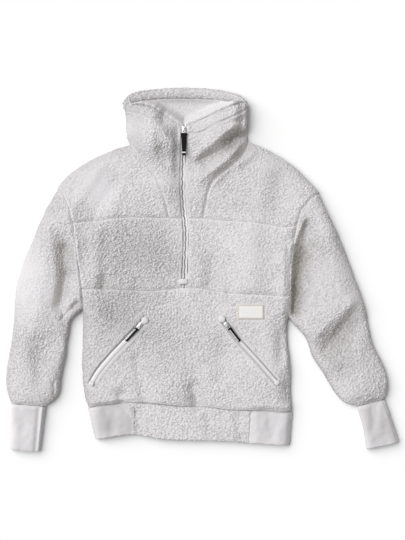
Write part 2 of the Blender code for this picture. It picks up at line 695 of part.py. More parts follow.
def hem_section(left, right, under, wall):
    """One row of the knit band: front left, round under the back, front right."""
    top_left = hem_height(left)
    top_right = hem_height(right)
    outer = [(*left[i], top_left[i]) for i in range(len(left) - 1, 0, -1)]
    outer += [(*left[0], EDGE_MIDDLE)]
    outer += [(*p, 0.0) for p in under]
    outer += [(*right[-1], EDGE_MIDDLE)]
    outer += [(*right[i], top_right[i]) for i in range(len(right) - 2, -1, -1)]
    in_left = left + (left[-1] - left[0]) / np.linalg.norm(left[-1] - left[0]) * wall
    in_left[-1] = left[-1]
    in_right = right + (right[0] - right[-1]) / np.linalg.norm(right[0] - right[-1]) * wall
    in_right[0] = right[0]
    ceiling_left = np.maximum(hem_height(in_left) - wall / upright(hem_height, in_left), wall + 1)
    ceiling_right = np.maximum(hem_height(in_right) - wall / upright(hem_height, in_right), wall + 1)
    inner = [(*in_left[i], ceiling_left[i]) for i in range(len(left) - 1, 0, -1)]
    inner += [(*in_left[0], EDGE_MIDDLE)]
    inner += [(*p, wall) for p in under]
    inner += [(*in_right[-1], EDGE_MIDDLE)]
    inner += [(*in_right[i], ceiling_right[i]) for i in range(len(right) - 2, -1, -1)]
    return outer, inner


def make_hem_band():
    bottom_left = along(smooth_curve(HEM_BOTTOM_LEFT), SIDE_SHORT)
    bottom_right = along(smooth_curve(HEM_BOTTOM_RIGHT), [1 - s for s in SIDE_SHORT[::-1]])
    top_left, top_right = HEM_LEFT.copy(), HEM_RIGHT.copy()
    top_left[:, 1] -= SEAM_GAP
    top_right[:, 1] -= SEAM_GAP
    top_left[-1, 0] -= SEAM_GAP
    top_right[0, 0] += SEAM_GAP
    bottom_middle = along(smooth_curve(HEM_BOTTOM_MIDDLE), EVEN[11])
    top_under = np.vstack([top_left[1:-1], HEM_MIDDLE - (0, SEAM_GAP), top_right[1:-1]])
    bottom_under = np.vstack([bottom_left[1:-1], bottom_middle, bottom_right[1:-1]])
    outer, inner = [], []
    for k in range(HEM_ROWS + 1):
        s = k / HEM_ROWS
        left = top_left + (bottom_left - top_left) * s
        right = top_right + (bottom_right - top_right) * s
        under = top_under + (bottom_under - top_under) * s
        a, b = hem_section(left, right, under, KNIT)
        outer.append(a)
        inner.append(b)
    shell("hem_band", outer, inner, "knit")


# Collar


def make_collar():
    floor = FLEECE + SEAM_GAP + FACING + SEAM_GAP
    left_side = join(COLLAR_SEAM_LEFT, COLLAR_EDGE_LEFT)
    right_side = join(COLLAR_SEAM_RIGHT, COLLAR_EDGE_RIGHT)
    cloth_panel("collar_front_left", (along(PLACKET_LEFT, ACROSS_COLLAR), RIM_LEFT, left_side,
                                      finer(ZIP_LEFT[LOW_END - 1:], 2)),
                wall=COLLAR_WALL, lowest=floor)
    cloth_panel("collar_front_right", (along(PLACKET_RIGHT, [1 - s for s in ACROSS_COLLAR[::-1]]),
                                       RIM_RIGHT, finer(ZIP_RIGHT[LOW_END - 1:], 2), right_side),
                wall=COLLAR_WALL, lowest=floor)
    back = join(NECK_BACK, COLLAR_EDGE_RIGHT, RIM_BACK[::-1], COLLAR_EDGE_LEFT[::-1])[:-1]
    slab("collar_back", draw_in(back, SEAM_GAP / 2), 0.0, FLEECE, "fleece")


def make_collar_lining():
    """Fleece facing inside the rim, and the smooth lining below it."""
    floor = FLEECE + SEAM_GAP
    facing_edge = stretch("facing_edge", EVEN[12])
    side_left = np.array([p for p in COLLAR_EDGE_LEFT if p[1] > facing_edge[0][1]])
    side_right = np.array([p for p in COLLAR_EDGE_RIGHT if p[1] > facing_edge[-1][1]])
    facing = np.vstack([facing_edge, side_right, RIM_BACK[1:-1][::-1], side_left[::-1]])
    slab("collar_facing", draw_in(facing, SEAM_GAP / 2), floor, floor + FACING, "fleece")
    low_left = np.array([p for p in COLLAR_EDGE_LEFT[1:] if p[1] < facing_edge[0][1] - 1])
    low_right = np.array([p for p in COLLAR_EDGE_RIGHT[1:] if p[1] < facing_edge[-1][1] - 1])
    lining = np.vstack([low_left[:1], low_right, facing_edge[::-1], low_left[:0:-1]])
    slab("collar_lining", draw_in(lining, SEAM_GAP / 2), floor, floor + LINING, "lining")


# Zips


def zip_height(points):
    return body_height(points) - ZIP_SUNK


def make_zip_tapes():
    for side, edge in (("left", ZIP_LEFT), ("right", ZIP_RIGHT)):
        pair = (edge, ZIP_LINE) if side == "left" else (ZIP_LINE, edge)
        ends = [along(np.array([pair[0][k], pair[1][k]]), EVEN[2]) for k in (0, -1)]
        cloth_panel(f"zip_tape_{side}", (*ends, finer(pair[0], 2), finer(pair[1], 2)),
                    finish="zip_cloth", wall=TAPE, height_of=zip_height)


def rounded_plan(width, length, corner, steps=4):
    """A rectangle with round corners, centred, length along X."""
    points = []
    for turn, (sx, sy) in enumerate(((1, 1), (-1, 1), (-1, -1), (1, -1))):
        centre = (sx * (length / 2 - corner), sy * (width / 2 - corner))
        for k in range(steps + 1):
            angle = math.radians(90 * turn + 90 * k / steps)
            points.append((centre[0] + corner * math.cos(angle), centre[1] + corner * math.sin(angle)))
    return points


def make_tack(tree):
    frame = seat(tree, TACK["x"], TACK["y"], 0.0, 1.0, TACK["length"], TACK["width"])
    outline = rounded_plan(TACK["width"], TACK["length"], 2.0)
    slab("zip_tack", outline, 0.0, TACK["thickness"], "zip_cloth", in_metres(frame))


def make_pocket_band(side, tree):
    """The pocket zip's closed tapes, laid on the lower front from the top patch to the end patch."""
    line = stretch(f"pocket_{side}", EVEN[14])
    grid = np.stack([beside(line, -POCKET_TAPE_WIDTH / 2), line, beside(line, POCKET_TAPE_WIDTH / 2)],
                    axis=1)
    laid_strip(f"pocket_tape_{side}", grid, tree, TAPE, "zip_cloth")


def make_pocket_patches(side, tree):
    line = stretch(f"pocket_{side}", EVEN[14])
    way = line[1] - line[0]
    frame = seat(tree, *line[0], *way, PATCH_RADIUS * 2, PATCH_RADIUS * 2)
    round_plan = [(PATCH_RADIUS * math.cos(a), PATCH_RADIUS * math.sin(a))
                  for a in np.linspace(0, 2 * math.pi, 24, endpoint=False)]
    slab(f"pocket_patch_{side}", round_plan, 0.0, PATCH_THICKNESS, "zip_cloth", in_metres(frame))
    way = line[-1] - line[-2]
    frame = seat(tree, *line[-1], *way, END_PATCH["length"], END_PATCH["width"])
    outline = rounded_plan(END_PATCH["width"], END_PATCH["length"], 2.0)
    slab(f"pocket_end_{side}", outline, 0.0, END_PATCH["thickness"], "zip_cloth", in_metres(frame))


def arch_guide(name):
    """The arch's outline, upright in X and Z, as wide as its bar; sunk into the slider's base."""
    half, top, sunk = ARCH_LENGTH / 2, SLIDER_BASE + ARCH_HEIGHT, SLIDER_BASE - 0.8
    inner_half, inner_top = half - ARCH_BAR, top - ARCH_BAR
    slope = 0.9
    profile = [(-half, sunk), (-inner_half, sunk), (-inner_half, inner_top - slope),
               (-inner_half + slope, inner_top), (inner_half - slope, inner_top),
               (inner_half, inner_top - slope), (inner_half, sunk), (half, sunk),
               (half, top - 1.6 * slope), (half - 1.6 * slope, top), (-half + 1.6 * slope, top),
               (-half, top - 1.6 * slope)]
    bm = bmesh.new()
    ring = [bm.verts.new(Vector((PIVOT_ALONG + x, -ARCH_WIDTH / 2, z)) * MM) for x, z in profile]
    grown = bmesh.ops.extrude_face_region(bm, geom=[bm.faces.new(ring)])
    for item in grown["geom"]:
        if isinstance(item, bmesh.types.BMVert):
            item.co.y = ARCH_WIDTH / 2 * MM
    guide = add_object(name, bm, "slider_metal")
    guide.hide_render = True
    guide.display_type = "WIRE"
    return guide


def make_slider(name, frame):
    """A slider: a shield-shaped base with an arch across it for the link."""
    length, width = SLIDER_LENGTH, SLIDER_WIDTH
    outline = [(-length / 2, -width * 0.3), (-length / 2 + 1.5, -width * 0.46), (0, -width / 2),
               (length / 2 - 1.5, -width * 0.42), (length / 2, -width * 0.3),
               (length / 2, width * 0.3), (length / 2 - 1.5, width * 0.42), (0, width / 2),
               (-length / 2 + 1.5, width * 0.46), (-length / 2, width * 0.3)]
    base = slab(name, outline, 0.0, SLIDER_BASE, "slider_metal", in_metres(frame))
    guide = arch_guide(f"{name}_arch_guide")
    guide.matrix_world = in_metres(frame)
    join_arch = base.modifiers.new("Arch", "BOOLEAN")
    join_arch.operation = "UNION"
    join_arch.object = guide


def link_plan():
    """Plan of the link's ring: outer outline and inner hole, X from the pivot outwards."""
    start, end = -LINK_BAR / 2, LINK_BAR / 2 + LINK_HOLE_LENGTH + LINK_BAR
    half, inner = LINK_HOLE_WIDTH / 2 + LINK_BAR, LINK_HOLE_WIDTH / 2
    outer = [(start, -half), (end - 1, -half), (end, -half + 1), (end, half - 1), (end - 1, half),
             (start, half)]
    hole = [(start + LINK_BAR, -inner), (end - LINK_BAR - 0.8, -inner), (end - LINK_BAR, -inner + 0.8),
            (end - LINK_BAR, inner - 0.8), (end - LINK_BAR - 0.8, inner), (start + LINK_BAR, inner)]
    return outer, hole


def make_link(name, frame):
    outer, hole = link_plan()
    bm = bmesh.new()
    levels = []
    for z in (-LINK_BAR / 2, LINK_BAR / 2):
        levels.append([[bm.verts.new(Vector((x, y, z)) * MM) for x, y in ring] for ring in (outer, hole)])
    count = len(outer)
    (low_out, low_in), (high_out, high_in) = levels
    for i in range(count):
        k = (i + 1) % count
        bm.faces.new((low_out[i], low_out[k], low_in[k], low_in[i]))
        bm.faces.new((high_out[i], high_out[k], high_in[k], high_in[i]))
        bm.faces.new((low_out[i], low_out[k], high_out[k], high_out[i]))
        bm.faces.new((low_in[i], low_in[k], high_in[k], high_in[i]))
    add_object(name, bm, "slider_metal", frame)


def make_tab(name, frame, row):
    """The rubber tab: a wide lug at the link, narrowing to a round end."""
    start = LINK_BAR * 1.5 + LINK_HOLE_LENGTH + SEAM_GAP
    lug, top, end = row["lug"] / 2, row["top"] / 2, row["end"] / 2
    tip = start + row["length"]
    half = [(start, lug * 0.7), (start + 1, lug), (start + TAB_LUG_LENGTH - 1, lug),
            (start + TAB_LUG_LENGTH + 1, top), (tip - 14, end), (tip - 2, end), (tip - 0.6, end - 0.6),
            (tip, end - 2)]
    outline = [(x, -y) for x, y in half] + [(x, y) for x, y in reversed(half)]
    slab(name, outline, -TAB_THICKNESS / 2, TAB_THICKNESS / 2, "pull_rubber", frame)


def pull_frame(tree, slider_frame, row):
    """The turned frame of a pull: its origin on the pivot, its X down along the cloth."""
    pivot = slider_frame @ Vector((PIVOT_ALONG, 0, SLIDER_BASE + PIVOT_RISE))
    ways = slider_frame.to_3x3()
    along_axis, across_axis = ways.col[0], ways.col[1]
    flat = math.hypot(along_axis.x, along_axis.y)
    slope = math.atan2(along_axis.z, flat)
    level = Vector((along_axis.x, along_axis.y, 0)).normalized()
    tilt = slope + LOWEST_TILT
    reach = LINK_BAR * 1.5 + LINK_HOLE_LENGTH + row["length"] + 1
    for distance in np.linspace(8, reach, 24):
        for sideways in (-row["lug"] / 2, 0, row["lug"] / 2):
            place = pivot + level * distance + across_axis * sideways
            need = highest(tree, place.x, place.y, 1.2) + SEAM_GAP + TAB_THICKNESS / 2 - pivot.z
            tilt = max(tilt, math.atan2(need, distance))
    x_axis = (level * math.cos(tilt) + Vector((0, 0, 1)) * math.sin(tilt)).normalized()
    y_axis = (across_axis - x_axis * across_axis.dot(x_axis)).normalized()
    frame = Matrix((x_axis, y_axis, x_axis.cross(y_axis))).transposed().to_4x4()
    frame.translation = pivot
    return frame


def make_pull(place, row, tree):
    frame = seat(tree, row["x"], row["y"], row["dx"], row["dy"], SLIDER_LENGTH, SLIDER_WIDTH)
    make_slider(f"{place}_slider", frame)
    turned = in_metres(pull_frame(tree, frame, row))
    make_link(f"{place}_pull_link", turned)
    make_tab(f"{place}_pull_tab", turned, row)


def make_zips():
    front = ["yoke_left", "yoke_right", "chest_left", "chest_right", "lower_front",
             "collar_front_left", "collar_front_right"]
    make_zip_tapes()
    for side in ("left", "right"):
        make_pocket_band(side, cloth_tree(front))
    layers = front + ["zip_tape_left", "zip_tape_right", "pocket_tape_left", "pocket_tape_right"]
    tree = cloth_tree(layers)
    make_tack(tree)
    for side in ("left", "right"):
        make_pocket_patches(side, tree)
    for place, row in PULLS.items():
        make_pull(place, row, tree)


# Label


def make_label():
    tree = cloth_tree(["lower_front"])
    xs = np.linspace(LABEL["x"] - LABEL["width"] / 2, LABEL["x"] + LABEL["width"] / 2, 9)
    ys = np.linspace(LABEL["y"] - LABEL["height"] / 2, LABEL["y"] + LABEL["height"] / 2, 6)
    grid = np.array([[(x, y) for x in xs] for y in ys])
    laid_strip("label", grid, tree, LABEL["thickness"], "label_cloth")


# Run


def clear_scene():
    for item in list(bpy.data.objects):
        bpy.data.objects.remove(item, do_unlink=True)


def main():
    clear_scene()
    make_back()
    make_front()
    make_collar()
    make_hem_front()
    make_hem_band()
    for side in ("left", "right"):
        make_sleeve(side)
        make_cuff(side)
    make_collar_lining()
    make_zips()
    make_label()


main()
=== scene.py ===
"""Looks of the fleece pullover: sherpa pile, seams, knit bands, zips, pulls and label."""
import json
import math
from contextlib import contextmanager

import bpy
import numpy as np
from mathutils import Matrix, Vector
from mathutils.bvhtree import BVHTree


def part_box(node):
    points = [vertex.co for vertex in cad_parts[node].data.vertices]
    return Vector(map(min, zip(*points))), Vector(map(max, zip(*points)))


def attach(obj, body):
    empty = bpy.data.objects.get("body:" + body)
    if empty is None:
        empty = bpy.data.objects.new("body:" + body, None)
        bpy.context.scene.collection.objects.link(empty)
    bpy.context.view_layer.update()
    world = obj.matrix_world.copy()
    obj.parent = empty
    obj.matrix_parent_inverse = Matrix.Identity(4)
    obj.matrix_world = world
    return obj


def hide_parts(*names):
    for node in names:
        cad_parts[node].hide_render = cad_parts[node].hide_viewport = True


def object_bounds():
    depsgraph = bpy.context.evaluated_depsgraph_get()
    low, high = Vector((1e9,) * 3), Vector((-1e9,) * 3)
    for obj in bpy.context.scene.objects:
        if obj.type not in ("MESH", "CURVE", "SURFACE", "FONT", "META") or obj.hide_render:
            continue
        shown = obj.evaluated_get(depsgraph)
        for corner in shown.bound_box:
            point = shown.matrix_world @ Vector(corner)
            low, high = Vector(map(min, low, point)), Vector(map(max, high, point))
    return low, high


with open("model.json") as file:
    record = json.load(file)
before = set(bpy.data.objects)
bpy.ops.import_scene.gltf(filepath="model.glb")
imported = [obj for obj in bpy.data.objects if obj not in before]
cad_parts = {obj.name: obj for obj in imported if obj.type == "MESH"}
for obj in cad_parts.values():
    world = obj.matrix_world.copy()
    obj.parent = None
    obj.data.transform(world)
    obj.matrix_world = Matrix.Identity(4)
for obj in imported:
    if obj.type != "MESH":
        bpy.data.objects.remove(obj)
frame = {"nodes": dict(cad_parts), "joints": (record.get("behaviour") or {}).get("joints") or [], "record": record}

SOLIDS_BOX = [list(corner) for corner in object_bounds()]
MM = 0.001

# Fineness of the cloth meshes and lines, in metres, and the angle past which a corner stays sharp
FLEECE_PITCH = 0.0017
KNIT_PITCH = 0.0022
BACK_PITCH = 0.0030
PATCH_PITCH = 0.0008
STRIP_STEP = 0.0008
LABEL_STEP = 0.00075
LINE_STEP = 0.006
CREASE_ANGLE = 48

# Sherpa pile: its curls, how high and how evenly it stands, and its nap, in metres and degrees
CURL = 0.0048
FINE_CURL = 0.0031
PATCH_CURL = 0.0022
CURL_STRETCH = 0.64
CURL_TURN = 52
CURL_DRIFT = 0.007
CURL_DRIFT_SIZE = 0.011
PILE_DEPTH = 0.0030
LINING_DEPTH = 0.0012
PATCH_DEPTH = 0.0006
MEAN_PILE = 0.45
BASE_FULL = 0.58
FULL_SWELL = 0.5
FULL_SWELL_SIZE = 0.03
NAP_SWELL = 0.16
NAP_SWELL_SIZE = 0.055
OUTLINE_WAVE = 0.0030
OUTLINE_WAVE_SIZE = 0.02

# Seams between the fleece panels, pressed down, with painted highlight and painted shade along them and flatter
# pile
SEAM_DEPTH = 0.0026
SEAM_REACH = 0.0080
SEAM_FILL = 0.0009
SEAM_FILL_REACH = 0.004
SEAM_HIGHLIGHT = 0.22
SEAM_HIGHLIGHT_AT = 0.0028
SEAM_HIGHLIGHT_WIDTH = 0.0016
SEAM_SHADE = 0.20
SEAM_SHADE_WIDTH = 0.0011
SEAM_PILE = 0.40
SEAM_PILE_REACH = 0.006
END_REACH = 0.0015

# Pile and creases held down beside the zips and the label
TRIM_PILE = 0.12
TRIM_EDGE = 0.004
PRESSED_REACH = 0.012
CREASE_EDGE = 0.006
CREASE_REACH = 0.022

# The largest share of the cloth's height over its lowest top, in metres, that a crease may take
DEEPEST_SHARE = 0.7
LOWEST_TOP = 0.004

# Height from which creases fade in, and over which, in mm
LOOSE_FROM = 5.0
LOOSE_OVER = 6.0

# Ends of the hem's fleece middle, which laps over the knit band on the left
HEM_END_FILL = 0.0038
HEM_RIGHT_FILL = 0.0016
HEM_KNIT_FILL = 0.9 * HEM_END_FILL
HEM_LEFT_END = -0.1655
HEM_LEFT_RISE = 0.0016
HEM_LEFT_WIDTH = 0.011
HEM_LEFT_SLANT = 0.08
HEM_FOOT = -0.385
HEM_HEIGHT = 0.06
HEM_LAP = 0.006
HEM_LAP_DROP = 0.0012
HEM_LAP_WIDTH = 0.007
OVER_BACK = 0.006

# Knit bands, drawn in at the seams where the fleece bulges over them, with soft wrinkles
KNIT_DRAW = 0.0045
KNIT_DRAW_REACH = 0.011
KNIT_WRINKLE = 0.00272
KNIT_WRINKLE_SIZE = 0.016
KNIT_FINE_WRINKLE = 0.00102
KNIT_FINE_SIZE = 0.009
KNIT_STRETCH = 0.45
CUFF_SEAM_DEPTH = 0.0012
CUFF_SEAM_WIDTH = 0.0018

# The collar: rolled rims with a topstitched channel, the facing inside the back and the lining
RIM_REACH = 0.011
RIM_DROP = 0.009
RIM_FILL = 0.0030
RIM_FILL_REACH = 0.005
RIM_WALL = 0.0009
RIM_INSIDE_REACH = 0.012
CHANNEL_DEPTH = 0.0026
CHANNEL_WIDTH = 0.0026
CHANNEL_PILE = 0.3
CHANNEL_PRESS = 0.005
CHANNEL_SHADE = 0.22
FACING_RISE = 0.0060
FACING_REACH = 0.008
BACK_RIM_CROWN = 0.009
BACK_RIM_PEAK = 0.009
BACK_RIM_WIDTH = 0.026
LINING_SWELL = 0.002
LINING_SWELL_SIZE = 0.04
LINING_SHADE = 0.26
FACING_SEAM_INSET = 0.0012
FACING_SEAM_ENDS = (-0.150, 0.066)

# Lightness painted into the fleece's colour: its neutral level, and painted shade near the floor, low on the sides
# and where the cloth leans to the light
NEUTRAL_LIGHTNESS = 0.82
BASE_SHADE = 0.5
BASE_HEIGHT = 0.008
SIDE_MOST = 0.45
SIDE_HEIGHT = 0.022
FAR_SIDE_SHARE = 0.35
LEAN_MOST = 0.50
LIGHT_LEAN = (-0.87, 0.49)

# Zip tapes: half width of each closed pair and the teeth under the cloth; then how high each patch puffs
ZIP_HALF = 0.0060
POCKET_HALF = 0.0045
TOOTH_PITCH = 0.0017
TOOTH_RISE = 0.00022
TAPE_THICKNESS = 0.0010
PATCH_CROWNS = {"zip_tack": 0.0016, "pocket_patch_left": 0.0028, "pocket_patch_right": 0.0028,
                "pocket_end_left": 0.0018, "pocket_end_right": 0.0024}

# The woven label and the stitches, in metres
LABEL_SIZE = (0.060, 0.033)
LABEL_SEAM = 0.0022
LABEL_STITCH_PITCH = 0.0032
PATCH_SEAM = 0.0018
PATCH_STITCH_PITCH = 0.0034
STITCH_LENGTH = 0.0028
STITCH_PITCH = 0.0040
STITCH_THICKNESS = 0.0007
STITCH_LIFT = 0.0002

# Floor, light and camera, in metres and degrees
FLOOR_SIZE = 6.0
FLOOR_TONE = 0.815
SKY_STRENGTH = 0.36
SUN_ENERGY = 3.92
SUN_ANGLE = 66
SUN_FROM = (-0.68, 0.39, 0.79)
SUN_DISTANCE = 2
CAMERA_HEIGHT = 2.8
VIEW_LENGTH = 1.269
SENSOR_WIDTH = 36


# Plain helpers


def only(piece):
    """Selects one piece alone and makes it active."""
    bpy.ops.object.select_all(action="DESELECT")
    piece.select_set(True)
    bpy.context.view_layer.objects.active = piece


def new_piece(name, data):
    piece = bpy.data.objects.new(name, data)
    bpy.context.scene.collection.objects.link(piece)
    return piece


@contextmanager
def edit_mode(select="SELECT"):
    """Edit mode with all or nothing selected at its start, and nothing at its end."""
    bpy.ops.object.mode_set(mode="EDIT")
    bpy.ops.mesh.select_all(action=select)
    yield
    bpy.ops.mesh.select_all(action="DESELECT")
    bpy.ops.object.mode_set(mode="OBJECT")


def apply_modifiers(piece):
    only(piece)
    for modifier in list(piece.modifiers):
        bpy.ops.object.modifier_apply(modifier=modifier.name)


def points_of(piece, layer="co"):
    flat = np.zeros(len(piece.data.vertices) * 3, np.float32)
    piece.data.vertices.foreach_get(layer, flat)
    return flat.reshape(-1, 3).astype(float)


def normals_of(piece):
    return points_of(piece, "normal")


def move_points(piece, points):
    points = points.copy()
    points[:, 2] = np.maximum(points[:, 2], 0.0)
    piece.data.vertices.foreach_set("co", points.astype(np.float32).ravel())
    piece.data.update()


def keep_values(piece, **values):
    """Stores numbers for each point of the mesh, for the materials."""
    count = len(piece.data.vertices)
    for name, value in values.items():
        layer = piece.data.attributes.new(name, "FLOAT", "POINT")
        layer.data.foreach_set("value", np.broadcast_to(value, count).astype(np.float32))


def plan_box(node):
    """Middle and half size of a node in plan."""
    low, high = (np.array(corner[:2]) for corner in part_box(node))
    return (low + high) / 2, (high - low) / 2


def eased(t):
    t = np.clip(t, 0, 1)
    return t * t * (3 - 2 * t)


def bell(away, width):
    """A smooth hump: 1 in the middle, falling off over its half width."""
    return np.exp(-(away / width) ** 2)


def facing_up(normals):
    """How far each point faces up, from 0 on a side to 1."""
    return eased((normals[:, 2] - 0.1) / 0.5)


# Repeatable noise for pile and creases


def chance(cells, seed):
    """A repeatable number between 0 and 1 for each whole-number cell."""
    n = (cells[..., 0] * 73856093) ^ (cells[..., 1] * 19349663) ^ (cells[..., 2] * 83492791) ^ (seed * 7919)
    n = (n * 1274126177 + 12345) & 0x7FFFFFFF
    n = ((n ^ (n >> 13)) * 1103515245) & 0x7FFFFFFF
    n = ((n ^ (n >> 16)) * 69069) & 0x7FFFFFFF
    return (n >> 7) / float(0x7FFFFFFF >> 7)


def cloud(points, size, seed):
    """Soft noise from 0 to 1 with swells about one size wide."""
    place = points / size
    cell = np.floor(place).astype(np.int64)
    part = eased(place - cell)
    total = np.zeros(len(points))
    for corner in range(8):
        step = np.array([corner & 1, corner >> 1 & 1, corner >> 2 & 1])
        weight = np.prod(np.where(step, part, 1 - part), axis=1)
        total += weight * chance(cell + step, seed)
    return total


def curls(points, size, seed):
    """Round nubs about one size wide with narrow gaps between them, from 0 to 1."""
    place = points / size
    cell = np.floor(place).astype(np.int64)
    first = np.full(len(points), 9.0)
    second = np.full(len(points), 9.0)
    for i in (-1, 0, 1):
        for j in (-1, 0, 1):
            for k in (-1, 0, 1):
                near = cell + np.array([i, j, k])
                centre = near + np.stack([chance(near, seed + s) for s in (0, 1, 2)], axis=1)
                away = np.linalg.norm(place - centre, axis=1)
                second = np.minimum(second, np.maximum(first, away))
                first = np.minimum(first, away)
    gap = 1 - np.exp(-4.5 * (second - first))
    return np.clip(gap * (1.12 - 0.55 * first), 0, 1)


def pile_height(points):
    """Height of the sherpa pile from 0 in its gaps to 1 on its curls."""
    bent = points.copy()
    for axis in range(3):
        bent[:, axis] += (cloud(points, CURL_DRIFT_SIZE, 31 + axis) - 0.5) * CURL_DRIFT
    turn = math.radians(CURL_TURN)
    along = bent[:, 0] * math.cos(turn) + bent[:, 1] * math.sin(turn)
    across = bent[:, 1] * math.cos(turn) - bent[:, 0] * math.sin(turn)
    bent = np.stack([along * CURL_STRETCH, across, bent[:, 2]], axis=1)
    return 0.62 * curls(bent, CURL, 3) + 0.38 * curls(bent, FINE_CURL, 17)


# Lines in plan


def smooth_curve(points, per_span=24):
    """A dense curve through control points, rounded as a bent seam is."""
    p = np.array(points, float)
    padded = np.vstack([2 * p[0] - p[1], p, 2 * p[-1] - p[-2]])
    out = []
    for i in range(1, len(padded) - 2):
        a, b, c, d = padded[i - 1:i + 3]
        for t in np.linspace(0, 1, per_span, endpoint=False):
            out.append(0.5 * (2 * b + (c - a) * t + (2 * a - 5 * b + 4 * c - d) * t * t
                              + (3 * b - a - 3 * c + d) * t ** 3))
    out.append(p[-1])
    return np.array(out)


def stations(line, step):
    """Points evenly spaced along a line, about one step apart."""
    steps = np.linalg.norm(np.diff(line, axis=0), axis=1)
    length = np.concatenate([[0], np.cumsum(steps)])
    count = max(int(round(length[-1] / step)), 1)
    s = np.linspace(0, length[-1], count + 1)
    return np.stack([np.interp(s, length, line[:, k]) for k in (0, 1)], axis=1)


def right_of(line):
    """The sideways direction at each point of a line, to its right."""
    way = np.gradient(line, axis=0)
    way /= np.linalg.norm(way, axis=1)[:, None]
    return np.stack([way[:, 1], -way[:, 0]], axis=1)


def beside(points, line):
    """Signed distance of each point from a line in plan, above 0 to its right."""
    nearest = np.full(len(points), 9.0)
    side = np.zeros(len(points))
    for a, b in zip(line[:-1], line[1:]):
        way = b - a
        length = max(np.linalg.norm(way), 1e-9)
        way = way / length
        t = np.clip((points[:, :2] - a) @ way, 0, length)
        off = points[:, :2] - (a + t[:, None] * way)
        away = np.linalg.norm(off, axis=1)
        closer = away < nearest
        nearest[closer] = away[closer]
        side[closer] = (off[:, 0] * way[1] - off[:, 1] * way[0])[closer]
    return side


def from_span(places, a, b):
    """Distance of each place in plan from the straight span between two points."""
    way = b - a
    t = np.clip(((places - a) @ way) / max(way @ way, 1e-12), 0, 1)
    return np.linalg.norm(places - (a + t[..., None] * way), axis=-1)


def from_line(points, line):
    """Distance in plan of each point from a line."""
    return np.min([from_span(points[:, :2], a, b) for a, b in zip(line[:-1], line[1:])], axis=0)


# Plan maps of distance


class PlanMap:
    """Distance in plan to the nearest of some lines, kept on a fine grid."""

    def __init__(self, lines, reach=0.03, pitch=0.00075):
        self.pitch = pitch
        self.low = np.array(SOLIDS_BOX[0][:2]) - 0.03
        size = np.array(SOLIDS_BOX[1][:2]) + 0.03 - self.low
        shape = np.ceil(size / pitch).astype(int) + 1
        self.gap = np.full(shape, reach)
        for line in lines:
            line = np.asarray(line, float)[:, :2]
            for a, b in zip(line[:-1], line[1:]):
                self.add(a, b, reach)

    def add(self, a, b, reach):
        start = np.floor((np.minimum(a, b) - reach - self.low) / self.pitch).astype(int)
        end = np.ceil((np.maximum(a, b) + reach - self.low) / self.pitch).astype(int) + 1
        start = np.maximum(start, 0)
        end = np.minimum(end, self.gap.shape)
        if np.any(end <= start):
            return
        x = self.low[0] + np.arange(start[0], end[0]) * self.pitch
        y = self.low[1] + np.arange(start[1], end[1]) * self.pitch
        spot = np.stack(np.meshgrid(x, y, indexing="ij"), axis=-1)
        patch = self.gap[start[0]:end[0], start[1]:end[1]]
        np.minimum(patch, from_span(spot, a, b), out=patch)

    def at(self, points):
        place = (points[:, :2] - self.low) / self.pitch
        place = np.clip(place, 0, np.array(self.gap.shape) - 1.001)
        cell = place.astype(int)
        part = place - cell
        i, j = cell[:, 0], cell[:, 1]
        u, v = part[:, 0], part[:, 1]
        g = self.gap
        return ((1 - u) * (1 - v) * g[i, j] + u * (1 - v) * g[i + 1, j]
                + (1 - u) * v * g[i, j + 1] + u * v * g[i + 1, j + 1])


def top_border(node):
    """The outline of a panel's upper side, as pairs of points in plan."""
    piece = joined_copy(node, "outline_guide")
    mesh = piece.data
    up = [polygon.normal.z > 0.3 for polygon in mesh.polygons]
    seen = {}
    for polygon, is_up in zip(mesh.polygons, up):
        if is_up:
            for key in polygon.edge_keys:
                seen[key] = seen.get(key, 0) + 1
    pairs = [[mesh.vertices[i].co[:2] for i in key] for key, count in seen.items() if count == 1]
    bpy.data.objects.remove(piece, do_unlink=True)
    return pairs


# Cloth made from the solids


def joined_copy(node, name):
    """A copy of a solid with its loose triangles joined."""
    piece = new_piece(name, frame["nodes"][node].data.copy())
    piece.data.materials.clear()
    only(piece)
    with edit_mode():
        bpy.ops.mesh.remove_doubles(threshold=0.00002)
        bpy.ops.mesh.tris_convert_to_quads(face_threshold=math.radians(50),
                                           shape_threshold=math.radians(70))
    return piece


def crease_ends(piece, ends):
    """Keeps the rings at a tube's sewn ends where they are when the tube is smoothed."""
    mesh = piece.data
    near = ends.at(points_of(piece)) < END_REACH
    rings = set()
    for polygon in mesh.polygons:
        if all(near[i] for i in polygon.vertices):
            rings.update(polygon.edge_keys)
    crease = mesh.attributes.get("crease_edge") or mesh.attributes.new("crease_edge", "FLOAT", "EDGE")
    values = [1.0 if edge.key in rings else 0.0 for edge in mesh.edges]
    crease.data.foreach_set("value", values)


def rounded_copy(node, name, pitch, crease_angle=CREASE_ANGLE, soft=4, ends=None):
    """A copy of a solid with smooth sides between its corners, in a fine even mesh."""
    piece = joined_copy(node, name)
    if crease_angle:
        with edit_mode("DESELECT"):
            bpy.ops.mesh.select_mode(type="EDGE")
            bpy.ops.mesh.edges_select_sharp(sharpness=math.radians(crease_angle))
            bpy.ops.transform.edge_crease(value=1.0)
    if ends:
        crease_ends(piece, ends)
    curve = piece.modifiers.new("Curve", "SUBSURF")
    curve.levels = curve.render_levels = 2
    even = piece.modifiers.new("Even", "REMESH")
    even.mode = "VOXEL"
    even.voxel_size = pitch
    ease = piece.modifiers.new("Ease", "SMOOTH")
    ease.factor = 0.5
    ease.iterations = soft
    apply_modifiers(piece)
    return piece


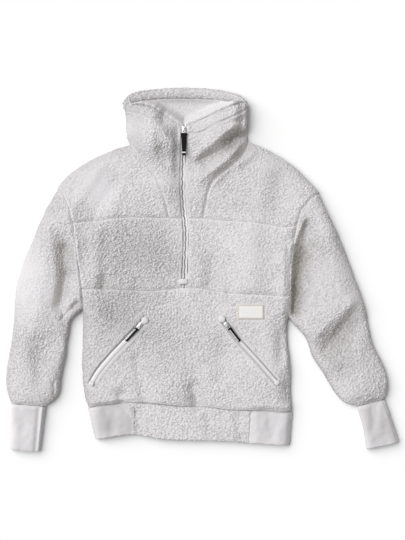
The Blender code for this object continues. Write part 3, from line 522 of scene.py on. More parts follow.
# Lines of the cut that other things follow, in mm (x, y)
LINES = {
    "rim_left": [(-187, 392), (-173, 389), (-146, 386), (-114, 379), (-92, 366), (-65, 350), (-49, 338)],
    "rim_right": [(-37, 338), (-9, 350), (16, 361), (41, 372), (67, 384), (82, 390), (104, 392)],
    "rim_back": [(-187, 392), (-184, 402), (-176, 409), (-157, 417), (-108, 424), (-42, 427), (24, 424),
                 (73, 415), (96, 406), (104, 392)],
    "channel_left": [(-181, 373), (-168, 368), (-144, 359), (-124, 356), (-104, 348)],
    "channel_right": [(-32, 317), (-5, 319), (24, 336), (46, 345), (76, 358), (102, 373)],
    "facing_edge": [(-184, 381), (-147, 391), (-118, 399), (-41, 402), (35, 399), (61, 394), (103, 383)],
    "zip": [(-43, -41), (-41, 18), (-39, 84), (-42, 121), (-45, 150), (-47, 182), (-47, 211),
            (-46, 261), (-43, 338)],
    "pocket_left": [(-134, -117), (-175, -161), (-212, -200), (-242, -236), (-259, -264)],
    "pocket_right": [(45, -114), (83, -162), (125, -208), (160, -248), (174, -263)],
    "armhole_left": [(-338, 194), (-325, 173), (-309, 138), (-302, 107), (-297, 58), (-284, -31),
                     (-280, -60), (-279, -94)],
    "armhole_right": [(273, 182), (247, 162), (229, 139), (221, 111), (214, 77), (208, 37), (202, 6),
                      (202, -34), (203, -71), (200, -113)],
    "wrist_left": [(-449, -311), (-366, -318)],
    "wrist_right": [(427, -300), (360, -318)],
    "hem": [(-267, -322), (-228, -312), (-189, -311), (-166, -309), (-122, -309), (-38, -318), (17, -319),
            (60, -326), (113, -326), (153, -326), (188, -331), (209, -330)],
    "cuff_seam_left": [(-371, -319), (-376, -370), (-382, -425)],
    "cuff_seam_right": [(421, -303), (440, -354), (455, -403)],
}


def line_of(name):
    return smooth_curve(LINES[name]) * MM


def coarse(name):
    return stations(line_of(name), LINE_STEP)


# Creases of the laid cloth beyond those of the solids, in mm: the two ends of a line (x, y, x, y),
# its half width, and its height
CREASES = {
    "sleeve_valley_left_top": (-356, 144, -326, 60, 20, -6),
    "sleeve_valley_left": (-319, 50, -315, -10, 14, -6),
    "sleeve_valley_left_low": (-314, -14, -336, -82, 13, -7),
    "armhole_fill_left": (-297, 58, -284, -70, 6, 3),
    "underarm_line_left": (-331, -116, -290, -74, 4, -2),
    "underarm_rise_left": (-318, -84, -292, -62, 11, 4),
    "elbow_shade_left": (-386, -172, -372, -206, 24, -6),
    "inner_seam_left": (-347, -262, -345, -302, 4, -2),
    "armhole_fill_right": (208, 60, 204, -98, 7, 3),
    "armhole_ridge_right": (236, 118, 215, 62, 6, 4),
    "sleeve_valley_right": (241, 92, 234, -30, 19, -13),
    "sleeve_valley_right_low": (234, -36, 221, -92, 17, -11),
    "side_ridge_right": (189, 50, 187, -96, 9, 3),
    "outer_slope_right_top": (322, 60, 356, -60, 24, -3),
    "outer_slope_right_low": (384, -130, 408, -240, 26, -2),
    "elbow_fill_right": (343, -86, 286, -164, 12, 4),
    "elbow_shade_right": (362, -126, 292, -192, 24, -8),
    "elbow_ridge_right": (346, -76, 260, -156, 16, 6),
    "lower_rise_right": (300, -178, 352, -286, 17, 3),
    "lower_shade_right": (336, -176, 330, -236, 16, -4),
    "collar_valley_right": (8, 244, 104, 320, 12, -9),
    "collar_ridge_right": (-14, 262, 66, 330, 9, 4),
    "collar_fill_zip_left": (-86, 330, -74, 240, 12, 2),
    "collar_fill_zip_near": (-70, 330, -66, 250, 10, 2.5),
    "collar_under_rim_right": (50, 334, 92, 350, 9, -5),
    "collar_foot_right": (82, 244, 116, 274, 10, 6),
    "collar_seam_fill_right": (30, 207, 78, 252, 8, 4),
    "collar_edge_right": (76, 262, 96, 290, 8, -3),
    "collar_side_right": (101, 384, 100, 330, 9, 12),
    "collar_top_right": (62, 374, 62, 324, 18, -9),
    "collar_fill_left": (-108, 356, -70, 292, 17, 9),
    "collar_shade_left": (-92, 290, -62, 226, 14, 4),
    "yoke_shade_left": (-164, 200, -184, 140, 20, -4),
    "yoke_rise_left": (-318, 120, -232, 250, 15, 3),
    "yoke_dip_left": (-250, 130, -196, 210, 18, -3),
    "yoke_rise_right": (150, 232, 128, 160, 20, 3),
    "yoke_dip_right": (188, 210, 176, 130, 20, -3),
    "chest_shade_left": (-168, 100, -176, -10, 30, -5),
    "chest_rise_left": (-246, 90, -250, -20, 18, 4),
    "pouch_pinch_left": (-228, -22, -232, -46, 12, -5),
    "pouch_pinch_middle": (-152, -24, -154, -50, 12, -5),
    "pouch_pinch_right": (60, -36, 64, -62, 12, -3),
    "chest_rise_right": (112, 92, 116, -20, 30, 4),
    "chest_shade_right": (26, 20, 22, -36, 18, -4),
    "pouch_shade_left": (-212, -70, -206, -110, 24, -5),
    "hem_pinch_left": (-188, -292, -184, -312, 15, -7),
    "hem_pinch_middle": (-18, -276, -12, -312, 16, -8),
    "hem_shade_left": (-150, -210, -134, -300, 15, -4),
    "hem_bulge_left": (-262, -308, -176, -301, 7, 3),
    "hem_bulge_right": (118, -316, 206, -320, 7, 3),
    "pouch_shade_right": (48, -190, 52, -250, 24, -5),
    "pocket_shade_right": (186, -150, 184, -206, 14, -5),
    "hem_corner_right": (190, -258, 200, -300, 16, -5),
    "hem_front_dip_left": (-152, -330, -150, -380, 12, -3),
    "hem_front_dip_middle": (14, -330, 16, -384, 13, -3),
    "hem_front_dip_right": (84, -344, 92, -392, 12, -3),
    "hem_knit_dip_left": (-228, -330, -214, -372, 13, -2),
    "hem_knit_rise_left": (-186, -326, -196, -384, 12, 1),
    "hem_knit_dip_right": (150, -336, 166, -384, 15, -2),
    "cuff_dip_left": (-428, -330, -418, -372, 11, -0.8),
    "cuff_side_left": (-382, -325, -390, -422, 7, -3.6),
    "cuff_edge_left": (-374, -325, -383, -422, 5, 3),
    "cuff_dip_right": (400, -312, 398, -372, 11, -3.6),
}

# Where the pile stands fuller (above 0) or is brushed flat (below 0), and how much darker (below 0: lighter)
# its colour is painted there, partly its own tone, partly painted shade and light of folds and slopes: place and
# radius in mm, amount, shade
PILE_PATCHES = {
    "chest_left": (-165, 50, 78, 1.0, 0.34),
    "chest_middle_left": (-84, 20, 44, 0.35, 0.16),
    "yoke_left_low": (-150, 165, 45, 0.2, 0.0),
    "yoke_right": (120, 165, 60, 0.10, 0.06),
    "yoke_left_outer": (-235, 165, 50, -0.30, -0.18),
    "lower_left": (-205, -95, 66, 0.70, 0.40),
    "lower_middle": (-90, -150, 85, 0.40, 0.18),
    "lower_bottom_left": (-150, -280, 50, 0.0, -0.06),
    "shoulder_left": (-255, 225, 70, -0.50, -0.06),
    "shoulder_right": (180, 215, 50, -0.1, 0.06),
    "sleeve_left_outer": (-405, -20, 95, -0.6, -0.32),
    "sleeve_left_valley": (-322, 40, 60, 0.5, 0.06),
    "sleeve_left_elbow": (-382, -192, 40, 0.40, 0.08),
    "chest_right": (115, 50, 66, -0.3, -0.12),
    "chest_inner_right": (20, 0, 40, 0.1, 0.12),
    "lower_right": (130, -150, 70, -0.1, -0.03),
    "sleeve_right_outer": (345, -10, 60, -0.35, 0.10),
    "sleeve_right_top": (272, 56, 34, 0.40, 0.24),
    "armhole_right": (222, 28, 24, 0.2, 0.30),
    "armhole_right_low": (216, -48, 22, 0.2, 0.30),
    "elbow_right": (316, -134, 34, 0.30, 0.24),
    "sleeve_right_low": (322, -216, 46, 0.3, 0.30),
    "sleeve_right_wrist": (385, -262, 44, 0.2, 0.02),
    "collar_left": (-160, 330, 42, -0.5, -0.14),
    "collar_by_zip": (-88, 300, 30, 0.3, -0.10),
    "collar_at_zip": (-66, 304, 22, 0.1, -0.34),
    "collar_left_low": (-70, 250, 24, 0.2, -0.06),
    "collar_dark_left": (-115, 333, 16, 0.0, -0.26),
    "collar_streak_left": (-83, 286, 14, 0.1, -0.20),
    "collar_dark_top": (-101, 366, 14, 0.0, -0.18),
    "collar_dark_low": (-106, 283, 16, 0.1, -0.16),
    "collar_right": (10, 338, 40, -0.3, -0.08),
    "collar_valley": (64, 300, 24, 0.35, 0.36),
    "collar_low_right": (88, 268, 22, 0.0, 0.12),
    "facing_left": (-150, 404, 36, 0.6, 0.20),
    "hem_front": (-20, -358, 90, 0.25, -0.06),
    "cuff_right": (412, -360, 56, 0.0, 0.42),
    "hem_knit_left": (-215, -355, 44, 0.0, 0.56),
    "hem_knit_right": (165, -365, 44, 0.0, 0.14),
}

# Shade held in the deepest folds of a piece: the two ends of a line and its half width in mm, and
# how deep it is
FOLD_SHADES = {
    "sleeve_right": [(239, 112, 233, 62, 7, 0.45), (229, 50, 222, -20, 16, 0.85),
                     (221, -24, 212, -92, 15, 0.80), (344, -132, 290, -190, 24, 0.26)],
    "collar_front_right": [(58, 292, 84, 318, 13, 0.45), (84, 250, 94, 268, 8, 0.40)],
    "sleeve_left": [(-318, 44, -316, -4, 12, 0.20)],
}

# Cloth beside the pocket zips: offset from the zip's middle (above 0 on its right), half width and
# height, in mm
POCKET_LIPS = {
    "pocket_left": {"groove_right": (5.8, 1.7, -3.6), "lip_right": (11.0, 4.5, 3.0),
                    "groove_left": (-5.0, 1.2, 0.9), "welt_left": (-10.5, 5.0, 1.6),
                    "fold_left": (-16.5, 1.8, -0.8)},
    "pocket_right": {"groove_right": (5.4, 1.4, -2.8), "lip_right": (9.5, 3.5, 1.0),
                     "groove_left": (-5.4, 1.3, -2.6), "lip_left": (-9.5, 3.5, 1.2)},
}

# The smooth welt beside a pocket zip: its two edges and how softly they end, in mm
WELT_SIDE = {"pocket_left": (-17.0, -4.0)}
WELT_EDGE = 3.0


def spans(rows):
    """The two ends of each row's line in plan, in mm, and its other values."""
    for x0, y0, x1, y1, width, amount in rows:
        yield np.array([x0, y0], float), np.array([x1, y1], float), width, amount


def crease_heights(points, held=1.0):
    """Rise or fall of the cloth at each point from the creases, in metres."""
    plan = points[:, :2] / MM
    total = np.zeros(len(points))
    loose = eased((points[:, 2] / MM - LOOSE_FROM) / LOOSE_OVER)
    for a, b, width, height in spans(CREASES.values()):
        total += height * MM * bell(from_span(plan, a, b), width)
    return total * loose * held


def fold_shade(node, points):
    """How deep in the shade of a fold each point of a piece lies, from 0 to 1."""
    total = np.zeros(len(points))
    for a, b, width, depth in spans(FOLD_SHADES.get(node, [])):
        total = np.maximum(total, depth * bell(from_span(points[:, :2] / MM, a, b), width))
    return total


def pile_state(points, gap, pressed):
    """How high the pile stands at each point, and how light its colour is painted: its own tone, with painted
    shade and highlight at seams and in patches.
    """
    plan = points[:, :2] / MM
    full = BASE_FULL + FULL_SWELL * cloud(points, FULL_SWELL_SIZE, 5)
    nap = NEUTRAL_LIGHTNESS + NAP_SWELL * (cloud(points, NAP_SWELL_SIZE, 8) - 0.5)
    for x, y, radius, amount, shade in PILE_PATCHES.values():
        share = bell(np.linalg.norm(plan - (x, y), axis=1), radius)
        full += amount * share
        nap -= shade * share
    # Painted highlight a little beside each seam, and painted shade right along it
    nap += SEAM_HIGHLIGHT * bell(gap - SEAM_HIGHLIGHT_AT, SEAM_HIGHLIGHT_WIDTH)
    nap -= SEAM_SHADE * bell(gap, SEAM_SHADE_WIDTH)
    at_seam = SEAM_PILE + (1 - SEAM_PILE) * eased(gap / SEAM_PILE_REACH)
    at_trim = TRIM_PILE + (1 - TRIM_PILE) * eased((pressed - TRIM_EDGE) / PRESSED_REACH)
    return np.clip(full, 0.2, 1.7) * at_seam * at_trim, nap


def nap_shade(points, normals, lean):
    """Painted shade: how much darker the colour is made low on the sides and where the cloth leans to the light.
    """
    side = np.clip(1 - normals[:, 2], 0, SIDE_MOST) * (1 - eased(points[:, 2] / SIDE_HEIGHT))
    side *= FAR_SIDE_SHARE + (1 - FAR_SIDE_SHARE) * eased(0.5 + lean / 0.3)
    return side + np.clip(lean, 0, LEAN_MOST)


def thin_hidden(piece, keep=0.12):
    """Fewer faces on the sides that nobody sees: undersides and the insides of walls."""
    normals = normals_of(piece)
    hidden = np.nonzero(normals[:, 2] < -0.35)[0]
    group = piece.vertex_groups.new(name="hidden")
    group.add([int(i) for i in hidden], 1.0, "REPLACE")
    fewer = piece.modifiers.new("Fewer", "DECIMATE")
    fewer.ratio = 1 - (1 - keep) * len(hidden) / len(normals)
    fewer.vertex_group = group.name
    apply_modifiers(piece)
    piece.vertex_groups.clear()


# Heights read from a piece


def tree_of(piece):
    return BVHTree.FromObject(piece, bpy.context.evaluated_depsgraph_get())


def height_on(tree, x, y):
    """The top of a piece at a place in plan, or None where the piece isn't there."""
    hit = tree.ray_cast(Vector((x, y, 0.3)), Vector((0, 0, -1)))
    return None if hit[0] is None else hit[0].z


# Fleece pieces


def roll_rims(points, maps, upward):
    """The rolled rim of the collar's front, with the sewn channel below it."""
    near = np.clip(1 - maps["rims"].at(points) / RIM_REACH, 0, 1)
    points[:, 2] -= RIM_DROP * (1 - np.sqrt(1 - near ** 2)) * upward
    points[:, 2] -= CHANNEL_DEPTH * bell(maps["channels"].at(points), CHANNEL_WIDTH) * upward


def crown_facing(points, maps, upward):
    """The full roll of the rim at the back of the collar."""
    inwards = maps["back_rim"].at(points)
    reach = np.where(inwards < BACK_RIM_PEAK, BACK_RIM_PEAK, BACK_RIM_WIDTH - BACK_RIM_PEAK)
    far = np.abs(inwards - BACK_RIM_PEAK) / reach
    points[:, 2] += BACK_RIM_CROWN * np.sqrt(np.clip(1 - far ** 2, 0, 1)) * upward


def shape_pockets(points, upward):
    """Grooves, lips and the smooth welt beside the pocket zips; also where the pile is flat."""
    flat = np.ones(len(points))
    for name, rows in POCKET_LIPS.items():
        line = line_of(name)
        side = beside(points, line) / MM
        over_end = from_line(points, line) / MM - np.abs(side)
        along = 1 - eased(over_end / WELT_EDGE)
        for offset, width, height in rows.values():
            points[:, 2] += height * MM * bell(side - offset, width) * along * upward
        if name in WELT_SIDE:
            low, high = WELT_SIDE[name]
            flat -= 0.8 * eased((side - low) / WELT_EDGE) * eased((high - side) / WELT_EDGE) * along
    return flat


def shape_hem_front(points, normals, sideways, upward):
    """Both ends of the hem's fleece middle fill their seams; the left one laps over the knit."""
    fill = np.where(normals[:, 0] < 0, HEM_END_FILL, HEM_RIGHT_FILL)
    points[:, 0] += normals[:, 0] * sideways * fill
    left_end = bell(points[:, 0] - HEM_LEFT_END, HEM_LEFT_WIDTH)
    points[:, 2] += HEM_LEFT_RISE * left_end * upward
    points[:, 0] -= left_end * np.clip(points[:, 1] - HEM_FOOT, 0, HEM_HEIGHT) * HEM_LEFT_SLANT


def shape_collar(node, points, normals, maps, sideways, upward):
    """Fills the collar's open edges, then rolls its rims or crowns its facing."""
    edge = np.minimum(maps["rims"].at(points), maps["facing"].at(points))
    points += normals * (sideways * RIM_FILL * eased(1 - edge / RIM_FILL_REACH))[:, None]
    if node.startswith("collar_front"):
        roll_rims(points, maps, upward)
    if node == "collar_facing":
        crown_facing(points, maps, upward)


def fleece_from(node, maps, pitch=FLEECE_PITCH, crease_angle=CREASE_ANGLE, ends=None):
    """A sherpa piece on its solid's form: seams pressed down, creases, then the pile."""
    piece = rounded_copy(node, f"{node}_fleece", pitch, crease_angle, ends=ends)
    thin_hidden(piece)
    points = points_of(piece)
    normals = normals_of(piece)
    upward = facing_up(normals)
    sideways = 1 - eased(np.abs(normals[:, 2]) / 0.8)
    gap = maps["hem" if node == "hem_front" else "seams"].at(points)
    trim = maps["trims"].at(points)
    wave = (cloud(points, OUTLINE_WAVE_SIZE, 41) - 0.5) * OUTLINE_WAVE * sideways
    points[:, :2] += normals[:, :2] * (wave * eased(gap / 0.015 - 0.4))[:, None]
    points += normals * (sideways * SEAM_FILL * eased(1 - gap / SEAM_FILL_REACH))[:, None]
    points[:, 2] -= upward * SEAM_DEPTH * np.clip(1 - gap / SEAM_REACH, 0, 1) ** 2
    crease = crease_heights(points, eased((trim - CREASE_EDGE) / CREASE_REACH))
    points[:, 2] += np.maximum(crease, -DEEPEST_SHARE * np.maximum(points[:, 2] - LOWEST_TOP, 0))
    flat = np.ones(len(points))
    if node == "hem_front":
        shape_hem_front(points, normals, sideways, upward)
    if node.startswith("collar"):
        shape_collar(node, points, normals, maps, sideways, upward)
    if node == "lower_front":
        flat = shape_pockets(points, upward)
    move_points(piece, points)

    normals = normals_of(piece)
    lean = normals[:, :2] @ np.array(LIGHT_LEAN)
    shade = nap_shade(points, normals, lean)
    pile = pile_height(points)
    full, nap = pile_state(points, gap, trim)
    channel = maps["channels"].at(points)
    full *= flat * (CHANNEL_PILE + (1 - CHANNEL_PILE) * eased(channel / CHANNEL_PRESS))
    nap -= CHANNEL_SHADE * bell(channel, CHANNEL_WIDTH)
    shown = eased((normals[:, 2] + 0.45) / 0.3)
    points += normals * ((pile - MEAN_PILE) * full * shown * PILE_DEPTH)[:, None]
    move_points(piece, points)
    # Painted shade low on the sides and where the cloth leans to the light
    nap -= shade
    # Painted shade near the floor, where the sides turn down to it
    nap -= BASE_SHADE * (1 - eased(points[:, 2] / BASE_HEIGHT)) * (1 - eased(normals[:, 2] / 0.7))
    # Painted warm shade on slopes turned away from the light, kept off the low sides and the trims
    hollow = eased((-lean - 0.22) / 0.4) * eased(points[:, 2] / 0.012) * eased(trim / 0.03 - 0.3)
    keep_values(piece, pile=0.5 + (pile - 0.5) * np.clip(full, 0, 1.3), nap=np.clip(nap, 0, 1),
                full=np.clip(full, 0, 1.6) * shown, hollow=hollow * upward, hidden=1 - shown)
    if node in FOLD_SHADES:
        keep_values(piece, shade=fold_shade(node, points) * upward)
    piece.data.shade_smooth()
    return piece


def rim_heights(points, fronts):
    """Height of the collar front's rolled rim nearest to each point in plan."""
    spots = []
    for name, piece in zip(("rim_left", "rim_right"), fronts):
        tree = tree_of(piece)
        inside = -0.003 if name == "rim_left" else 0.003
        for x, y in stations(line_of(name), 0.004) + np.array([inside, -0.004]):
            z = height_on(tree, x, y)
            if z is not None:
                spots.append((x, y, z))
    spots = np.array(spots)
    away = np.linalg.norm(points[:, None, :2] - spots[None, :, :2], axis=2)
    return spots[np.argmin(away, axis=1), 2]


def lining_from(node, maps, fronts):
    """The short brushed inside of the collar, rising to the rolled rims on both sides."""
    piece = rounded_copy(node, f"{node}_cloth", FLEECE_PITCH)
    points = points_of(piece)
    upward = facing_up(normals_of(piece))
    climb = np.maximum(rim_heights(points, fronts) - RIM_WALL - points[:, 2], 0)
    points[:, 2] += climb * bell(maps["rims"].at(points), RIM_INSIDE_REACH) * upward
    points[:, 2] += FACING_RISE * bell(maps["facing"].at(points), FACING_REACH) * upward
    points[:, 2] += LINING_SWELL * (cloud(points, LINING_SWELL_SIZE, 51) - 0.5) * upward
    move_points(piece, points)
    pile = 0.5 * pile_height(points) + 0.5 * curls(points, FINE_CURL, 29)
    points += normals_of(piece) * ((pile - MEAN_PILE) * LINING_DEPTH * upward)[:, None]
    move_points(piece, points)
    keep_values(piece, pile=0.5 + (pile - 0.5) * 0.6, nap=NEUTRAL_LIGHTNESS - LINING_SHADE, full=0.35,
                hollow=0.0, hidden=1 - upward)
    piece.data.shade_smooth()
    return piece


# Knit bands


def knit_from(node, maps, way):
    """A knit band with soft wrinkles, drawn in along the seam where the fleece bulges over it."""
    piece = rounded_copy(node, f"{node}_cloth", KNIT_PITCH)
    thin_hidden(piece, 0.3)
    points = points_of(piece)
    normals = normals_of(piece)
    upward = facing_up(normals)
    gap = maps["knit_seams"].at(points)
    points[:, 2] -= KNIT_DRAW * np.clip(1 - gap / KNIT_DRAW_REACH, 0, 1) ** 2 * upward
    if node == "hem_band":
        over_back = points[:, 2] > OVER_BACK
        points[:, 0] += normals[:, 0] * (1 - upward) * HEM_KNIT_FILL * over_back
        left_end = bell(points[:, 0] - HEM_LEFT_END, HEM_LAP_WIDTH) * over_back
        points[:, 0] += np.clip(normals[:, 0], 0, 1) * left_end * HEM_LAP
        points[:, 2] -= HEM_LAP_DROP * left_end * upward
    points[:, 2] -= CUFF_SEAM_DEPTH * bell(maps["cuff_seams"].at(points), CUFF_SEAM_WIDTH) * upward
    points[:, 2] += crease_heights(points) * upward
    along = points[:, :2] @ (np.array(way) / math.hypot(*way))
    across = points[:, :2] @ (np.array([-way[1], way[0]]) / math.hypot(*way))
    drawn = np.stack([across, KNIT_STRETCH * along, points[:, 2]], axis=1)
    points[:, 2] += KNIT_WRINKLE * (cloud(drawn, KNIT_WRINKLE_SIZE, 61) - 0.5) * upward
    points[:, 2] += KNIT_FINE_WRINKLE * (cloud(points, KNIT_FINE_SIZE, 67) - 0.5) * upward
    move_points(piece, points)
    far = gap + 0.05
    nap = pile_state(points, far, far)[1]
    keep_values(piece, nap=np.clip(nap, 0, 1), wale=across, course=along + points[:, 2])
    piece.data.shade_smooth()
    return piece


# Zip tapes, pocket bands and label


def heights_on(node, places):
    """The top of a solid at each place of a grid, with gaps at its rim filled from beside."""
    tree = tree_of(frame["nodes"][node])
    heights = np.full(places.shape[:2], np.nan)
    for i, row in enumerate(places):
        for j, (x, y) in enumerate(row):
            z = height_on(tree, x, y)
            heights[i, j] = np.nan if z is None else z
    for i, row in enumerate(heights):
        known = np.nonzero(~np.isnan(row))[0]
        if len(known):
            heights[i] = np.interp(np.arange(len(row)), known, row[known])
    columns = np.arange(len(heights))
    for j in range(heights.shape[1]):
        known = np.nonzero(~np.isnan(heights[:, j]))[0]
        heights[:, j] = np.interp(columns, known, heights[known, j])
    return heights


def closed_grid(name, top, low):
    """A closed sheet between two grids of points of the same size."""
    rows, columns = top.shape[:2]
    points = np.vstack([top.reshape(-1, 3), low.reshape(-1, 3)])
    index = np.arange(rows * columns).reshape(rows, columns)
    under = index + rows * columns
    a, b, c, d = index[:-1, :-1], index[:-1, 1:], index[1:, 1:], index[1:, :-1]
    faces = [np.stack([a, b, c, d], axis=-1).reshape(-1, 4)]
    a, b, c, d = under[:-1, :-1], under[1:, :-1], under[1:, 1:], under[:-1, 1:]
    faces.append(np.stack([a, b, c, d], axis=-1).reshape(-1, 4))
    rim = list(index[0, :]) + list(index[1:, -1]) + list(index[-1, -2::-1]) + list(index[-2:0:-1, 0])
    rim = np.array(rim)
    after = np.roll(rim, -1)
    shift = rows * columns
    faces.append(np.stack([after, rim, rim + shift, after + shift], axis=-1))
    mesh = bpy.data.meshes.new(name)
    mesh.from_pydata(points.tolist(), [], np.vstack(faces).tolist())
    piece = new_piece(name, mesh)
    only(piece)
    with edit_mode():
        bpy.ops.mesh.normals_make_consistent(inside=False)
    mesh.shade_smooth()
    return piece


def strip_on(node, line, offsets, profile, step=STRIP_STEP):
    """A strip of cloth over a solid along a line; its profile says how far it stands off."""
    line = stations(line, step)
    plan = line[:, None, :] + right_of(line)[:, None, :] * offsets[None, :, None]
    height = heights_on(node, plan)
    along = np.arange(len(line)) * step
    rise = profile(offsets[None, :], along[:, None])
    top = np.concatenate([plan, (height + rise)[:, :, None]], axis=2)
    low = top.copy()
    low[:, :, 2] = height - TAPE_THICKNESS
    piece = closed_grid(f"{node}_cloth", top, low)
    places = np.concatenate([plan, plan]).reshape(-1, 2)
    side_of = np.tile(offsets, len(line) * 2)
    return piece, places, side_of, np.tile(np.repeat(along, len(offsets)), 2)


def zip_wander(along):
    """The line where the tapes meet isn't straight: it wanders to both sides."""
    return 0.0007 * np.sin(along * 290) + 0.0005 * np.sin(along * 811 + 1)


def zip_profile(side, along):
    """The closed zip: each tape falls to the middle, with the teeth felt through the cloth."""
    inner = np.abs(side - zip_wander(along))
    fall = -0.0016 * (1 - inner / ZIP_HALF)
    bead = 0.0009 * bell(inner - 0.0016, 0.0009)
    tooth = TOOTH_RISE * np.sin(2 * math.pi * along / TOOTH_PITCH) * bell(inner - 0.0016, 0.0012)
    groove = -0.0022 * bell(inner, 0.0008)
    edge = -0.0012 * np.clip((inner - 0.0050) / 0.0010, 0, 1)
    return 0.0010 + fall + bead + tooth + groove + edge


def zip_tape_shade(side, along):
    """Painted shade on a zip tape, from 0 to 1: most in the groove where the tapes meet, also at their outer edges
    and over all of the left tape.
    """
    meeting = bell(np.abs(side - zip_wander(along)), 0.0012)
    rims = 0.5 * bell(np.abs(side) - 0.0058, 0.0006)
    left_tape = np.where(side < 0, 0.16, 0.0)
    return np.clip(meeting + rims + left_tape, 0, 1)


def pocket_band_shade(side, two_edges):
    """Painted shade on a pocket band: in the fine groove where its tapes meet, or in the gaps along both edges
    over a slightly darker band.
    """
    if two_edges:
        return 0.14 + 0.62 * bell(np.abs(side) - 0.0039, 0.0006)
    return 0.35 * bell(side + 0.0012, 0.0006)


def pocket_profile(side, along):
    """A closed pocket zip under its cloth: a soft band with a fine line where the tapes meet."""
    inner = np.abs(side) / POCKET_HALF
    crown = 0.0009 * np.sqrt(np.clip(1 - inner ** 2, 0, 1))
    line = -0.0003 * bell(side + 0.0012, 0.00045)
    tooth = 0.5 * TOOTH_RISE * np.sin(2 * math.pi * along / TOOTH_PITCH) * bell(side, 0.002)
    return crown + line + tooth


def label_profile(side, along):
    """The woven label: slightly puffed, with its edge turned under and sewn down."""
    length, width = LABEL_SIZE
    inwards = np.minimum(np.minimum(along, length - along), width / 2 - np.abs(side))
    puff = 0.0006 * eased(inwards / 0.006)
    seam = -0.00035 * bell(inwards - LABEL_SEAM, 0.0006)
    rim = -0.0005 * (1 - eased(inwards / 0.0009))
    return puff + seam + rim


def make_tape(side):
    """One tape of the centre zip, from the middle groove to the fleece."""
    sign = -1 if side == "left" else 1
    columns = np.concatenate([np.linspace(0.00005, 0.0030, 9), np.linspace(0.0036, ZIP_HALF, 4)])
    piece, _, side_of, along = strip_on(f"zip_tape_{side}", line_of("zip"), np.sort(sign * columns),
                                        zip_profile)
    keep_values(piece, seam=zip_tape_shade(side_of, along))
    return piece


def make_band(side):
    """The band of closed tapes over one pocket zip."""
    offsets = np.linspace(-POCKET_HALF, POCKET_HALF, 17)
    piece, _, side_of, _ = strip_on(f"pocket_tape_{side}", line_of(f"pocket_{side}"), offsets,
                                    pocket_profile)
    keep_values(piece, seam=pocket_band_shade(side_of, side == "right"))
    return piece


def make_label():
    low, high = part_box("label")
    middle = (low.y + high.y) / 2
    half = (high.y - low.y) / 2
    line = np.array([(low.x, middle), (high.x, middle)])
    piece, places, _, _ = strip_on("label", line, np.linspace(-half, half, 45), label_profile, LABEL_STEP)
    inwards = np.minimum(np.minimum(places[:, 0] - low.x, high.x - places[:, 0]),
                         half - np.abs(places[:, 1] - middle))
    keep_values(piece, edge=inwards)
    return piece


def make_patch(node, crown):
    """A small puffed patch sewn over a zip's end."""
    piece = rounded_copy(node, f"{node}_cloth", PATCH_PITCH, 0, soft=5)
    points = points_of(piece)
    upward = facing_up(normals_of(piece))
    middle, half = plan_box(node)
    far = np.sum(((points[:, :2] - middle) / half) ** 2, axis=1)
    points[:, 2] += crown * np.sqrt(np.clip(1 - far, 0, 1)) * upward
    move_points(piece, points)
    pile = curls(points, PATCH_CURL, 23)
    points += normals_of(piece) * ((pile - 0.5) * PATCH_DEPTH * upward)[:, None]
    move_points(piece, points)
    keep_values(piece, pile=0.5 + (pile - 0.5) * 0.5, nap=0.97, full=0.3, hollow=0.0, hidden=0.0)
    piece.data.shade_smooth()
    return piece


# Stitches


def one_stitch():
    """One stitch along X: a short thread that dips into the cloth at both ends."""
    rings = ((-0.5, 0.35, -0.9), (-0.32, 0.9, 0.0), (0.0, 1.0, 0.3), (0.32, 0.9, 0.0), (0.5, 0.35, -0.9))
    points = []
    for x, fat, rise in rings:
        for k in range(6):
            turn = math.radians(60 * k)
            points.append((x * STITCH_LENGTH, math.cos(turn) * fat * STITCH_THICKNESS / 2,
                           (math.sin(turn) * fat + rise) * STITCH_THICKNESS / 2))
    faces = [[6 * r + k, 6 * r + (k + 1) % 6, 6 * r + 6 + (k + 1) % 6, 6 * r + 6 + k]
             for r in range(4) for k in range(6)]
    faces += [list(range(5, -1, -1)), list(range(24, 30))]
    return np.array(points), faces


def stitch_rows(name, lines, trees, pitch):
    """Rows of stitches lying on the cloth along lines in plan."""
    shape, sides = one_stitch()
    points, faces = [], []
    for line in lines:
        line = stations(line, pitch)
        for a, b in zip(line[:-1], line[1:]):
            way = (b - a) / np.linalg.norm(b - a)
            middle = (a + b) / 2
            spots = [middle + way * STITCH_LENGTH * k for k in (-0.5, 0, 0.5)]
            tops = [max([z for z in (height_on(tree, *spot) for tree in trees) if z is not None] or [-1])
                    for spot in spots]
            if min(tops) < 0:
                continue
            slope = (tops[2] - tops[0]) / STITCH_LENGTH
            ahead = Vector((way[0], way[1], slope)).normalized()
            across = Vector((-way[1], way[0], 0))
            turned = np.array([ahead, across, ahead.cross(across)]).T
            start = len(shape) * len(points)
            place = np.array([middle[0], middle[1], float(np.mean(tops)) + STITCH_LIFT])
            points.append(shape @ turned.T + place)
            faces += [[start + i for i in side] for side in sides]
    mesh = bpy.data.meshes.new(name)
    mesh.from_pydata(np.vstack(points).tolist(), [], faces)
    mesh.shade_smooth()
    return new_piece(name, mesh)


# Sliders, links and pull tabs


def bevelled_copy(node, name, width):
    """A copy of a hard solid with its edges rounded."""
    piece = joined_copy(node, name)
    with edit_mode():
        bpy.ops.mesh.dissolve_limited(angle_limit=math.radians(2))
    edge = piece.modifiers.new("Rounded", "BEVEL")
    edge.width = width
    edge.segments = 3
    edge.limit_method = "ANGLE"
    edge.angle_limit = math.radians(32)
    edge.harden_normals = False
    apply_modifiers(piece)
    bpy.ops.object.shade_smooth_by_angle(angle=math.radians(50))
    return piece


